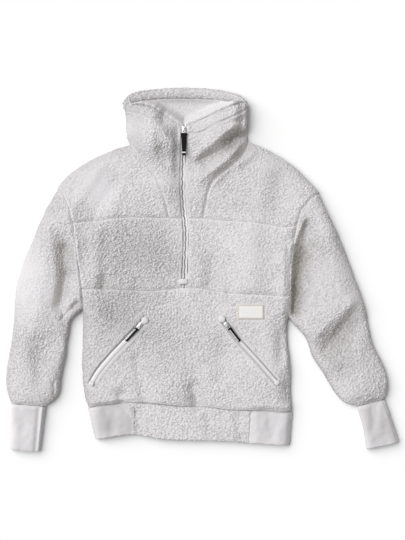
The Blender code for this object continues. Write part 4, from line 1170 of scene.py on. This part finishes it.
def pull_frame(body):
    """The frame of a pull at rest: its origin on the hinge, X along the tab, Z off the cloth."""
    joint = next(row for row in frame["joints"] if row["child"] == body)
    origin = Vector(joint["pos_m"])
    across = Vector(joint["axis"]).normalized()
    tab = next(node for node in frame["record"]["behaviour"]["bodies"][body] if node.endswith("tab"))
    low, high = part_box(tab)
    ahead = (low + high) / 2 - origin
    ahead = (ahead - across * ahead.dot(across)).normalized()
    up = ahead.cross(across)
    if up.z < 0:
        across = -across
        up = -up
    placed = Matrix((ahead, across, up)).transposed().to_4x4()
    placed.translation = origin
    return placed


def bar_on_tab(name, body, low, high, round_edge):
    """A small raised bar on a pull tab, given by its corners in the pull's own frame, in mm."""
    low, high = Vector(low) * MM, Vector(high) * MM
    bpy.ops.object.select_all(action="DESELECT")
    bpy.ops.mesh.primitive_cube_add(size=1, location=(0, 0, 0))
    piece = bpy.context.active_object
    piece.name = name
    with edit_mode():
        bpy.ops.transform.resize(value=high - low)
        bpy.ops.transform.translate(value=(low + high) / 2)
        bpy.ops.mesh.bevel(offset=round_edge * MM, segments=3, affect="EDGES")
    piece.data.transform(pull_frame(body))
    bpy.ops.object.shade_smooth_by_angle(angle=math.radians(50))
    return piece


# Shader nodes and the groups shared by the materials


def feed(tree, socket, value):
    """Gives a socket the value of another socket, or a constant."""
    if isinstance(value, bpy.types.NodeSocket):
        tree.links.new(value, socket)
    else:
        socket.default_value = value


def shader_node(tree, kind, inputs, **settings):
    """A node with its settings; each input is a socket or a constant."""
    node = tree.nodes.new(f"ShaderNode{kind}")
    for name, value in settings.items():
        setattr(node, name, value)
    for label, value in inputs.items():
        feed(tree, node.inputs[label], value)
    return node


def math_node(tree, operation, *values, clamp=False):
    """One step of arithmetic; each value is a socket or a number."""
    node = shader_node(tree, "Math", {}, operation=operation, use_clamp=clamp)
    for socket, value in zip(node.inputs, values):
        feed(tree, socket, value)
    return node.outputs["Value"]


def mixed(tree, share, first, second, blend="MIX"):
    """Two colours mixed by a share; each colour is a socket or a constant."""
    node = shader_node(tree, "Mix", {}, data_type="RGBA", blend_type=blend)
    for label, value in (("Factor", share), ("A", first), ("B", second)):
        feed(tree, node.inputs[label], value)
    return node.outputs["Result"]


def multiplied(tree, first, second):
    return mixed(tree, 1.0, first, second, "MULTIPLY")


def ranged(tree, value, low, high, to_low=0.0, to_high=1.0):
    limits = {"From Min": low, "From Max": high, "To Min": to_low, "To Max": to_high, "Value": value}
    return shader_node(tree, "MapRange", limits, interpolation_type="SMOOTHSTEP").outputs["Result"]


def new_group(name, inputs, outputs):
    """An empty group, with the sockets that come in and those that go out."""
    group = bpy.data.node_groups.new(name, "ShaderNodeTree")
    for label, kind, value in inputs:
        socket = group.interface.new_socket(name=label, in_out="INPUT", socket_type=f"NodeSocket{kind}")
        if value is not None:
            socket.default_value = value
    for label, kind in outputs:
        group.interface.new_socket(name=label, in_out="OUTPUT", socket_type=f"NodeSocket{kind}")
    return group, group.nodes.new("NodeGroupInput").outputs, group.nodes.new("NodeGroupOutput").inputs


def soft_tint_group():
    """Two colours mixed in soft clouds."""
    group, start, end = new_group(
        "soft_tint",
        (("Vector", "Vector", None), ("Scale", "Float", 60.0), ("Colour A", "Color", (0.5, 0.5, 0.5, 1)),
         ("Colour B", "Color", (0.6, 0.6, 0.6, 1))),
        (("Colour", "Color"), ("Value", "Float")))
    clouds = shader_node(group, "TexNoise", {"Detail": 4.0, "Vector": start["Vector"],
                                             "Scale": start["Scale"]}).outputs["Fac"]
    feed(group, end["Colour"], mixed(group, clouds, start["Colour A"], start["Colour B"]))
    feed(group, end["Value"], clouds)
    return group


def curly_pile_group():
    """Small curls lying in one direction, with fuzz on them, as a height."""
    group, start, end = new_group(
        "curly_pile",
        (("Vector", "Vector", None), ("Curl Scale", "Float", 150.0), ("Fuzz Scale", "Float", 900.0),
         ("Curl Height", "Float", 1.0)),
        (("Height", "Float"), ("Curl", "Float")))
    turned = shader_node(group, "Mapping", {"Rotation": (0, 0, math.radians(-CURL_TURN)),
                                            "Scale": (CURL_STRETCH, 1, 1), "Vector": start["Vector"]})
    cells = shader_node(group, "TexVoronoi", {"Smoothness": 0.25, "Vector": turned.outputs["Vector"],
                                              "Scale": start["Curl Scale"]}, feature="SMOOTH_F1")
    fuzz = shader_node(group, "TexNoise", {"Detail": 3.0, "Vector": start["Vector"],
                                           "Scale": start["Fuzz Scale"]})
    curl = math_node(group, "SUBTRACT", 1.0, cells.outputs["Distance"], clamp=True)
    high = math_node(group, "MULTIPLY", curl, start["Curl Height"])
    fine = math_node(group, "MULTIPLY", fuzz.outputs["Fac"], 0.4)
    feed(group, end["Height"], math_node(group, "ADD", high, fine))
    feed(group, end["Curl"], curl)
    return group


def weave_group():
    """A plain weave of threads over and under, as a height."""
    group, start, end = new_group(
        "plain_weave", (("Vector", "Vector", None), ("Scale", "Float", 2500.0)), (("Height", "Float"),))
    scaled = shader_node(group, "VectorMath", {"Vector": start["Vector"], "Scale": start["Scale"]},
                         operation="SCALE")
    parts = shader_node(group, "SeparateXYZ", {"Vector": scaled.outputs["Vector"]})
    warp = math_node(group, "SINE", parts.outputs["X"])
    weft = math_node(group, "SINE", parts.outputs["Y"])
    over = math_node(group, "ABSOLUTE", warp)
    under = math_node(group, "ABSOLUTE", weft)
    high = math_node(group, "MAXIMUM", over, under)
    crossed = math_node(group, "MULTIPLY", math_node(group, "MULTIPLY", warp, weft), 0.35)
    feed(group, end["Height"], math_node(group, "ADD", high, crossed))
    return group


def jersey_group():
    """Knit wales and courses: columns of small V-shaped loops, as a height."""
    group, start, end = new_group(
        "jersey_knit",
        (("Wale", "Float", 0.0), ("Course", "Float", 0.0), ("Wales per Metre", "Float", 620.0),
         ("Courses per Metre", "Float", 760.0)),
        (("Height", "Float"), ("Rib", "Float")))
    across = math_node(group, "MULTIPLY", start["Wale"], start["Wales per Metre"])
    along = math_node(group, "MULTIPLY", start["Course"], start["Courses per Metre"])
    column = math_node(group, "PINGPONG", across, 0.5)
    rib = math_node(group, "MULTIPLY", column, 2.0)
    shifted = math_node(group, "ADD", along, math_node(group, "MULTIPLY", column, 0.9))
    loop = math_node(group, "MULTIPLY", math_node(group, "PINGPONG", shifted, 0.5), 0.9)
    feed(group, end["Height"], math_node(group, "ADD", rib, loop))
    feed(group, end["Rib"], rib)
    return group


def place_group(tree, group, **values):
    """Puts a group in a material; each value is a socket or a constant."""
    inputs = {label.replace("_", " "): value for label, value in values.items()}
    return shader_node(tree, "Group", inputs, node_tree=group)


# Materials


def new_material(name, **finish):
    """A material with its constant values set on the shader's own sockets."""
    material = bpy.data.materials.new(name)
    material.use_nodes = True
    shader = material.node_tree.nodes["Principled BSDF"]
    for label, value in finish.items():
        shader.inputs[label.replace("_", " ")].default_value = value
    return material, material.node_tree, shader


def place_of(tree):
    return tree.nodes.new("ShaderNodeTexCoord").outputs["Object"]


def stored(tree, name):
    node = tree.nodes.new("ShaderNodeAttribute")
    node.attribute_name = name
    return node.outputs["Fac"]


def tinted(tree, groups, scale, low, high):
    """Soft clouds between two tones, all over a piece."""
    return place_group(tree, groups["soft_tint"], Vector=place_of(tree), Scale=scale,
                       Colour_A=(*low, 1), Colour_B=(*high, 1))


def bumped(tree, shader, height, strength, distance):
    node = shader_node(tree, "Bump", {"Strength": strength, "Distance": distance, "Height": height})
    tree.links.new(node.outputs["Normal"], shader.inputs["Normal"])


def fleece_material(groups, name="sherpa_fleece", light=1.0):
    """Off-white curls with warm, darker gaps painted as their shade, and more painted shade and highlight from the
    values stored on the piece.
    """
    material, tree, shader = new_material(name, Roughness=0.95, Sheen_Weight=0.05, Sheen_Roughness=0.6,
                                          Specular_IOR_Level=0.15)
    under = math_node(tree, "MULTIPLY", stored(tree, "hidden"), 2.6)
    high = math_node(tree, "ADD", under, math_node(tree, "MULTIPLY", stored(tree, "full"), 1.6))
    nubs = place_group(tree, groups["curly_pile"], Vector=place_of(tree), Curl_Scale=320.0,
                       Fuzz_Scale=950.0, Curl_Height=high)
    bumped(tree, shader, nubs.outputs["Height"], 0.6, 0.0012)
    fine = math_node(tree, "SUBTRACT", nubs.outputs["Curl"], 0.58)
    fine = math_node(tree, "MULTIPLY", fine, stored(tree, "full"))
    fine = math_node(tree, "MULTIPLY", fine, 0.75)
    pile = ranged(tree, math_node(tree, "ADD", stored(tree, "pile"), fine), 0.02, 0.60)
    # Gaps between the curls are painted darker and warmer as their shade; the curls' tips are lighter
    gap_shade_tone = (0.45 * light, 0.442 * light, 0.438 * light, 1)
    curl_tone = (0.626 * light, 0.618 * light, 0.627 * light, 1)
    colour = mixed(tree, pile, gap_shade_tone, curl_tone)
    # Values stored on the piece multiply the colour: the first holds the pile's own tone with painted shade and
    # highlight, the second paints warm shade on slopes turned from the light, the third paints shade in deep folds
    for value, low, high in (("nap", (0.64, 0.634, 0.636, 1), (1.08, 1.076, 1.08, 1)),
                             ("hollow", (1.0, 1.0, 1.0, 1), (0.93, 0.905, 0.85, 1)),
                             ("shade", (1.0, 1.0, 1.0, 1), (0.50, 0.485, 0.43, 1))):
        colour = multiplied(tree, colour, mixed(tree, stored(tree, value), low, high))
    tint = tinted(tree, groups, 240.0, (0.965, 0.96, 0.955), (1.025, 1.02, 1.03))
    colour = multiplied(tree, colour, tint.outputs["Colour"])
    tree.links.new(colour, shader.inputs["Base Color"])
    return material


def knit_material(groups):
    """Smooth knit in fine columns of loops, darker where shade is painted into its colour."""
    material, tree, shader = new_material("rib_knit", Roughness=0.88, Sheen_Weight=0.12,
                                          Specular_IOR_Level=0.2)
    knit = place_group(tree, groups["jersey_knit"], Wale=stored(tree, "wale"), Course=stored(tree, "course"))
    tint = tinted(tree, groups, 34.0, (0.575, 0.562, 0.57), (0.64, 0.632, 0.642))
    shade = ranged(tree, knit.outputs["Height"], 0.0, 1.2, 0.90, 1.02)
    colour = multiplied(tree, tint.outputs["Colour"], shade)
    # The stored value darkens or lightens the colour: the knit's own tone, with painted shade where the knit is
    # turned from the light
    nap = mixed(tree, stored(tree, "nap"), (0.64, 0.63, 0.635, 1), (1.07, 1.068, 1.07, 1))
    tree.links.new(multiplied(tree, colour, nap), shader.inputs["Base Color"])
    bumped(tree, shader, knit.outputs["Height"], 0.5, 0.0004)
    return material


def tape_material(groups):
    """White zip tape: fine woven ridges across it, slightly glossy."""
    material, tree, shader = new_material("zip_tape", Specular_IOR_Level=0.35)
    weave = place_group(tree, groups["plain_weave"], Vector=place_of(tree), Scale=5200.0)
    tint = tinted(tree, groups, 120.0, (0.64, 0.64, 0.65), (0.74, 0.74, 0.75))
    # The stored value paints shade into the tapes' colour, in the grooves and gaps beside them
    colour = mixed(tree, stored(tree, "seam"), tint.outputs["Colour"], (0.13, 0.127, 0.125, 1))
    tree.links.new(colour, shader.inputs["Base Color"])
    bumped(tree, shader, weave.outputs["Height"], 0.4, 0.0002)
    rough = ranged(tree, tint.outputs["Value"], 0.2, 0.8, 0.58, 0.74)
    tree.links.new(rough, shader.inputs["Roughness"])
    return material


def label_material(groups):
    """Cream woven cloth, with a beige overlocked edge."""
    material, tree, shader = new_material("woven_label", Roughness=0.72, Specular_IOR_Level=0.3)
    weave = place_group(tree, groups["plain_weave"], Vector=place_of(tree), Scale=6000.0)
    tint = tinted(tree, groups, 300.0, (0.70, 0.68, 0.655), (0.78, 0.765, 0.75))
    inner = ranged(tree, stored(tree, "edge"), 0.0014, 0.0028)
    colour = mixed(tree, inner, (0.56, 0.52, 0.45, 1), tint.outputs["Colour"])
    shade = ranged(tree, weave.outputs["Height"], 0.2, 1.2, 0.88, 1.0)
    tree.links.new(multiplied(tree, colour, shade), shader.inputs["Base Color"])
    bumped(tree, shader, weave.outputs["Height"], 0.5, 0.00018)
    return material


def plain_material(groups, name, scale, tones, bump, rough=None, **finish):
    """Thread, metal or rubber: two close tones in small clouds that also roughen it."""
    material, tree, shader = new_material(name, **finish)
    tint = tinted(tree, groups, scale, *tones)
    tree.links.new(tint.outputs["Colour"], shader.inputs["Base Color"])
    bumped(tree, shader, tint.outputs["Value"], bump, 0.0002)
    if rough:
        tree.links.new(ranged(tree, tint.outputs["Value"], 0.3, 0.7, *rough), shader.inputs["Roughness"])
    return material


# Stage, light and camera


def make_stage():
    bpy.ops.object.select_all(action="DESELECT")
    bpy.ops.mesh.primitive_plane_add(size=FLOOR_SIZE, location=(0, 0, 0))
    floor = bpy.context.active_object
    floor.name = "floor"
    tone = (FLOOR_TONE, FLOOR_TONE, FLOOR_TONE, 1)
    material = new_material("white_floor", Base_Color=tone, Roughness=1.0, Specular_IOR_Level=0.0)[0]
    floor.data.materials.append(material)


def make_light():
    world = bpy.data.worlds.new("studio")
    world.use_nodes = True
    sky = world.node_tree.nodes["Background"].inputs
    sky["Color"].default_value = (0.97, 0.98, 1.0, 1)
    sky["Strength"].default_value = SKY_STRENGTH
    bpy.context.scene.world = world
    light = bpy.data.lights.new("softbox", "SUN")
    light.energy = SUN_ENERGY
    light.angle = math.radians(SUN_ANGLE)
    light.color = (1.0, 0.995, 0.985)
    sun = new_piece("softbox", light)
    towards = Vector(SUN_FROM)
    sun.rotation_euler = towards.to_track_quat("Z", "Y").to_euler()
    sun.location = towards * SUN_DISTANCE


def make_camera():
    camera = bpy.data.cameras.new("camera")
    camera.sensor_width = SENSOR_WIDTH
    camera.lens = SENSOR_WIDTH * CAMERA_HEIGHT / VIEW_LENGTH
    stand = new_piece("camera", camera)
    stand.location = (0, 0, CAMERA_HEIGHT)
    bpy.context.scene.camera = stand


# The pullover


FRONT_PANELS = ["yoke_left", "yoke_right", "chest_left", "chest_right", "lower_front",
                "collar_front_left", "collar_front_right", "hem_front"]

# Plan maps, by the lines that each one measures from
MAPPED_LINES = {
    "rims": ("rim_left", "rim_right"),
    "back_rim": ("rim_back",),
    "facing": ("facing_edge",),
    "hem": ("hem",),
    "channels": ("channel_left", "channel_right"),
    "knit_seams": ("hem", "wrist_left", "wrist_right"),
    "cuff_seams": ("cuff_seam_left", "cuff_seam_right"),
    "sleeve_ends": ("armhole_left", "armhole_right", "wrist_left", "wrist_right"),
}
LABEL_MARGIN = 0.006


def make_maps():
    """Plan maps of the seams, the collar's rims and the trims sewn on the fleece."""
    maps = {name: PlanMap([coarse(line) for line in lines]) for name, lines in MAPPED_LINES.items()}
    borders = {node: top_border(node) for node in FRONT_PANELS}
    edges = {node: PlanMap(pairs, reach=0.004) for node, pairs in borders.items()}
    edges["sewn"] = PlanMap([coarse(name) for name in ("armhole_left", "armhole_right", "hem")], reach=0.004)
    seams = [coarse("wrist_left"), coarse("wrist_right")]
    for node, pairs in borders.items():
        middles = np.array([np.mean(np.array(pair), axis=0) for pair in pairs])
        near = np.min([other.at(middles) for name, other in edges.items() if name != node], axis=0)
        seams += [pair for pair, gap, rim in zip(pairs, near, maps["rims"].at(middles))
                  if gap < 0.0025 and rim > 0.002]
    maps["seams"] = PlanMap(seams)
    low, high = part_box("label")
    label = [np.array([(low.x + LABEL_MARGIN, y), (high.x - LABEL_MARGIN, y)])
             for y in np.linspace(low.y + LABEL_MARGIN, high.y - LABEL_MARGIN, 4)]
    maps["trims"] = PlanMap([coarse("zip"), coarse("pocket_left"), coarse("pocket_right")] + label)
    return maps


def dress(piece, material, body="garment", replaces=None):
    """Gives a piece its material and body, and hides the solid that it stands for."""
    piece.data.materials.clear()
    piece.data.materials.append(material)
    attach(piece, body)
    if replaces:
        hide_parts(replaces)
    return piece


def make_cloth(maps, finishes):
    """All cloth pieces of the body, sleeves, collar, cuffs and hem, by node."""
    cloth = {}
    for node in FRONT_PANELS + ["collar_facing", "sleeve_left", "sleeve_right", "back_panel", "collar_back"]:
        special = {}
        if node.startswith("sleeve"):
            special = {"crease_angle": 0, "ends": maps["sleeve_ends"]}
        if node in ("back_panel", "collar_back"):
            special = {"pitch": BACK_PITCH}
        cloth[node] = dress(fleece_from(node, maps, **special), finishes["fleece"], replaces=node)
    fronts = (cloth["collar_front_left"], cloth["collar_front_right"])
    cloth["collar_lining"] = dress(lining_from("collar_lining", maps, fronts), finishes["lining"],
                                   replaces="collar_lining")
    for node, way in (("cuff_left", (0.09, 1.0)), ("cuff_right", (-0.27, 1.0)), ("hem_band", (0.0, 1.0))):
        cloth[node] = dress(knit_from(node, maps, way), finishes["knit"], replaces=node)
    return cloth


def make_trims(finishes):
    """Zip tapes, pocket bands, patches and the label, by node."""
    tapes = {}
    for side in ("left", "right"):
        tapes[f"zip_tape_{side}"] = make_tape(side)
        tapes[f"pocket_tape_{side}"] = make_band(side)
    patches = {node: make_patch(node, crown) for node, crown in PATCH_CROWNS.items()}
    trims = {}
    for pieces, finish, slot in ((tapes, "tape", "zip_cloth"), (patches, "patch", "zip_cloth"),
                                 ({"label": make_label()}, "label", "label_cloth")):
        for node, piece in pieces.items():
            trims[node] = dress(piece, finishes[finish], replaces=node)
    return trims


def ring_line(node, inset):
    """The outline of a small sewn piece, drawn in by an inset."""
    middle, half = plan_box(node)
    turns = np.linspace(0, 2 * math.pi, 49)
    return middle + np.stack([np.cos(turns), np.sin(turns)], axis=1) * (half - inset)


def box_lines(node, inset):
    """The four sides of a node's box in plan, drawn in by an inset."""
    low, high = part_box(node)
    x0, x1, y0, y1 = low.x + inset, high.x - inset, low.y + inset, high.y - inset
    corners = [(x0, y0), (x1, y0), (x1, y1), (x0, y1), (x0, y0)]
    return [np.array(side) for side in zip(corners[:-1], corners[1:])]


def make_stitching(carriers, finishes):
    """Every visible row of stitches; carriers are the pieces that the rows lie on, by node."""
    channels = [line_of("channel_left"), line_of("channel_right")]
    facing = line_of("facing_edge") - np.array([0.0, FACING_SEAM_INSET])
    start, end = FACING_SEAM_ENDS
    facing = facing[(facing[:, 0] > start) & (facing[:, 0] < end)]
    cuffs = [line_of("cuff_seam_left"), line_of("cuff_seam_right")]
    table = [
        ("rim", channels, ("collar_front_left", "collar_front_right"), STITCH_PITCH, "thread", "fleece"),
        ("facing", [facing], ("collar_lining", "collar_facing"), STITCH_PITCH, "warm_thread", "lining"),
        ("cuff", cuffs, ("cuff_left", "cuff_right"), STITCH_PITCH, "warm_thread", "knit"),
        ("label", box_lines("label", LABEL_SEAM), ("label",), LABEL_STITCH_PITCH, "warm_thread",
         "label_cloth"),
    ]
    for node in ("pocket_patch_left", "pocket_patch_right"):
        table.append((node, [ring_line(node, PATCH_SEAM)], (node,), PATCH_STITCH_PITCH, "thread",
                      "zip_cloth"))
    rows = []
    for name, lines, nodes, pitch, thread, slot in table:
        row = stitch_rows(f"{name}_stitches", lines, [tree_of(carriers[node]) for node in nodes], pitch)
        rows.append(dress(row, finishes[thread]))
    return rows


# Pale bars on the pull tabs: name, pull, two corners in the pull's own frame and rounding, in mm
TAB_BARS = (
    ("centre_tab_band", "zip_pull", (51.4, -4.3, 0.3), (54.4, 4.3, 1.5), 0.3),
    ("pocket_left_tab_stripe", "pocket_pull_left", (12.0, -3.1, 0.4), (45.0, -1.1, 1.6), 0.4),
    ("pocket_right_tab_stripe", "pocket_pull_right", (12.0, -3.1, 0.4), (45.0, -1.1, 1.6), 0.4),
)


def make_pulls(finishes):
    """Sliders stay on the garment; links and tabs ride on their hinges."""
    for place, body in (("centre", "zip_pull"), ("pocket_left", "pocket_pull_left"),
                        ("pocket_right", "pocket_pull_right")):
        slider = bevelled_copy(f"{place}_slider", f"{place}_slider_metal", 0.00035)
        dress(slider, finishes["metal"], replaces=f"{place}_slider")
        link = bevelled_copy(f"{place}_pull_link", f"{place}_link_metal", 0.0003)
        dress(link, finishes["metal"], body, f"{place}_pull_link")
        tab = bevelled_copy(f"{place}_pull_tab", f"{place}_tab_rubber", 0.0008)
        dress(tab, finishes["rubber"], body, f"{place}_pull_tab")
    for name, body, low, high, round_edge in TAB_BARS:
        bar = bar_on_tab(name, body, low, high, round_edge)
        dress(bar, finishes["pale_rubber"], body)


def make_finishes():
    """All materials, by finish."""
    groups = {"soft_tint": soft_tint_group(), "curly_pile": curly_pile_group(),
              "plain_weave": weave_group(), "jersey_knit": jersey_group()}
    return {
        "fleece": fleece_material(groups),
        "lining": fleece_material(groups, "brushed_lining", 1.08),
        "patch": fleece_material(groups, "brushed_patch", 1.0),
        "knit": knit_material(groups),
        "tape": tape_material(groups),
        "thread": plain_material(groups, "white_thread", 900.0, ((0.60, 0.59, 0.57), (0.70, 0.69, 0.68)),
                                 0.4, Roughness=0.7),
        "warm_thread": plain_material(groups, "beige_thread", 900.0,
                                      ((0.36, 0.33, 0.27), (0.48, 0.45, 0.38)), 0.4, Roughness=0.7),
        "label": label_material(groups),
        "metal": plain_material(groups, "polished_silver", 700.0,
                                ((0.66, 0.665, 0.68), (0.80, 0.805, 0.815)), 0.15, (0.20, 0.34),
                                Metallic=1.0),
        "rubber": plain_material(groups, "black_rubber", 520.0,
                                 ((0.003, 0.003, 0.0035), (0.007, 0.007, 0.008)), 0.2, (0.60, 0.72),
                                 Specular_IOR_Level=0.12),
        "pale_rubber": plain_material(groups, "pale_rubber", 520.0,
                                      ((0.58, 0.58, 0.59), (0.68, 0.68, 0.69)), 0.2, (0.50, 0.62),
                                      Specular_IOR_Level=0.12),
    }


def main():
    bpy.context.scene.view_settings.view_transform = "Standard"
    make_stage()
    make_light()
    make_camera()
    finishes = make_finishes()
    cloth = make_cloth(make_maps(), finishes)
    trims = make_trims(finishes)
    rows = make_stitching({**cloth, **trims}, finishes)
    make_pulls(finishes)
    on_front = [piece for piece in trims.values() if piece.name.startswith(("pocket", "label", "zip_tack"))]
    on_front += [piece for piece in rows if piece.name.startswith(("pocket", "label"))]


main()
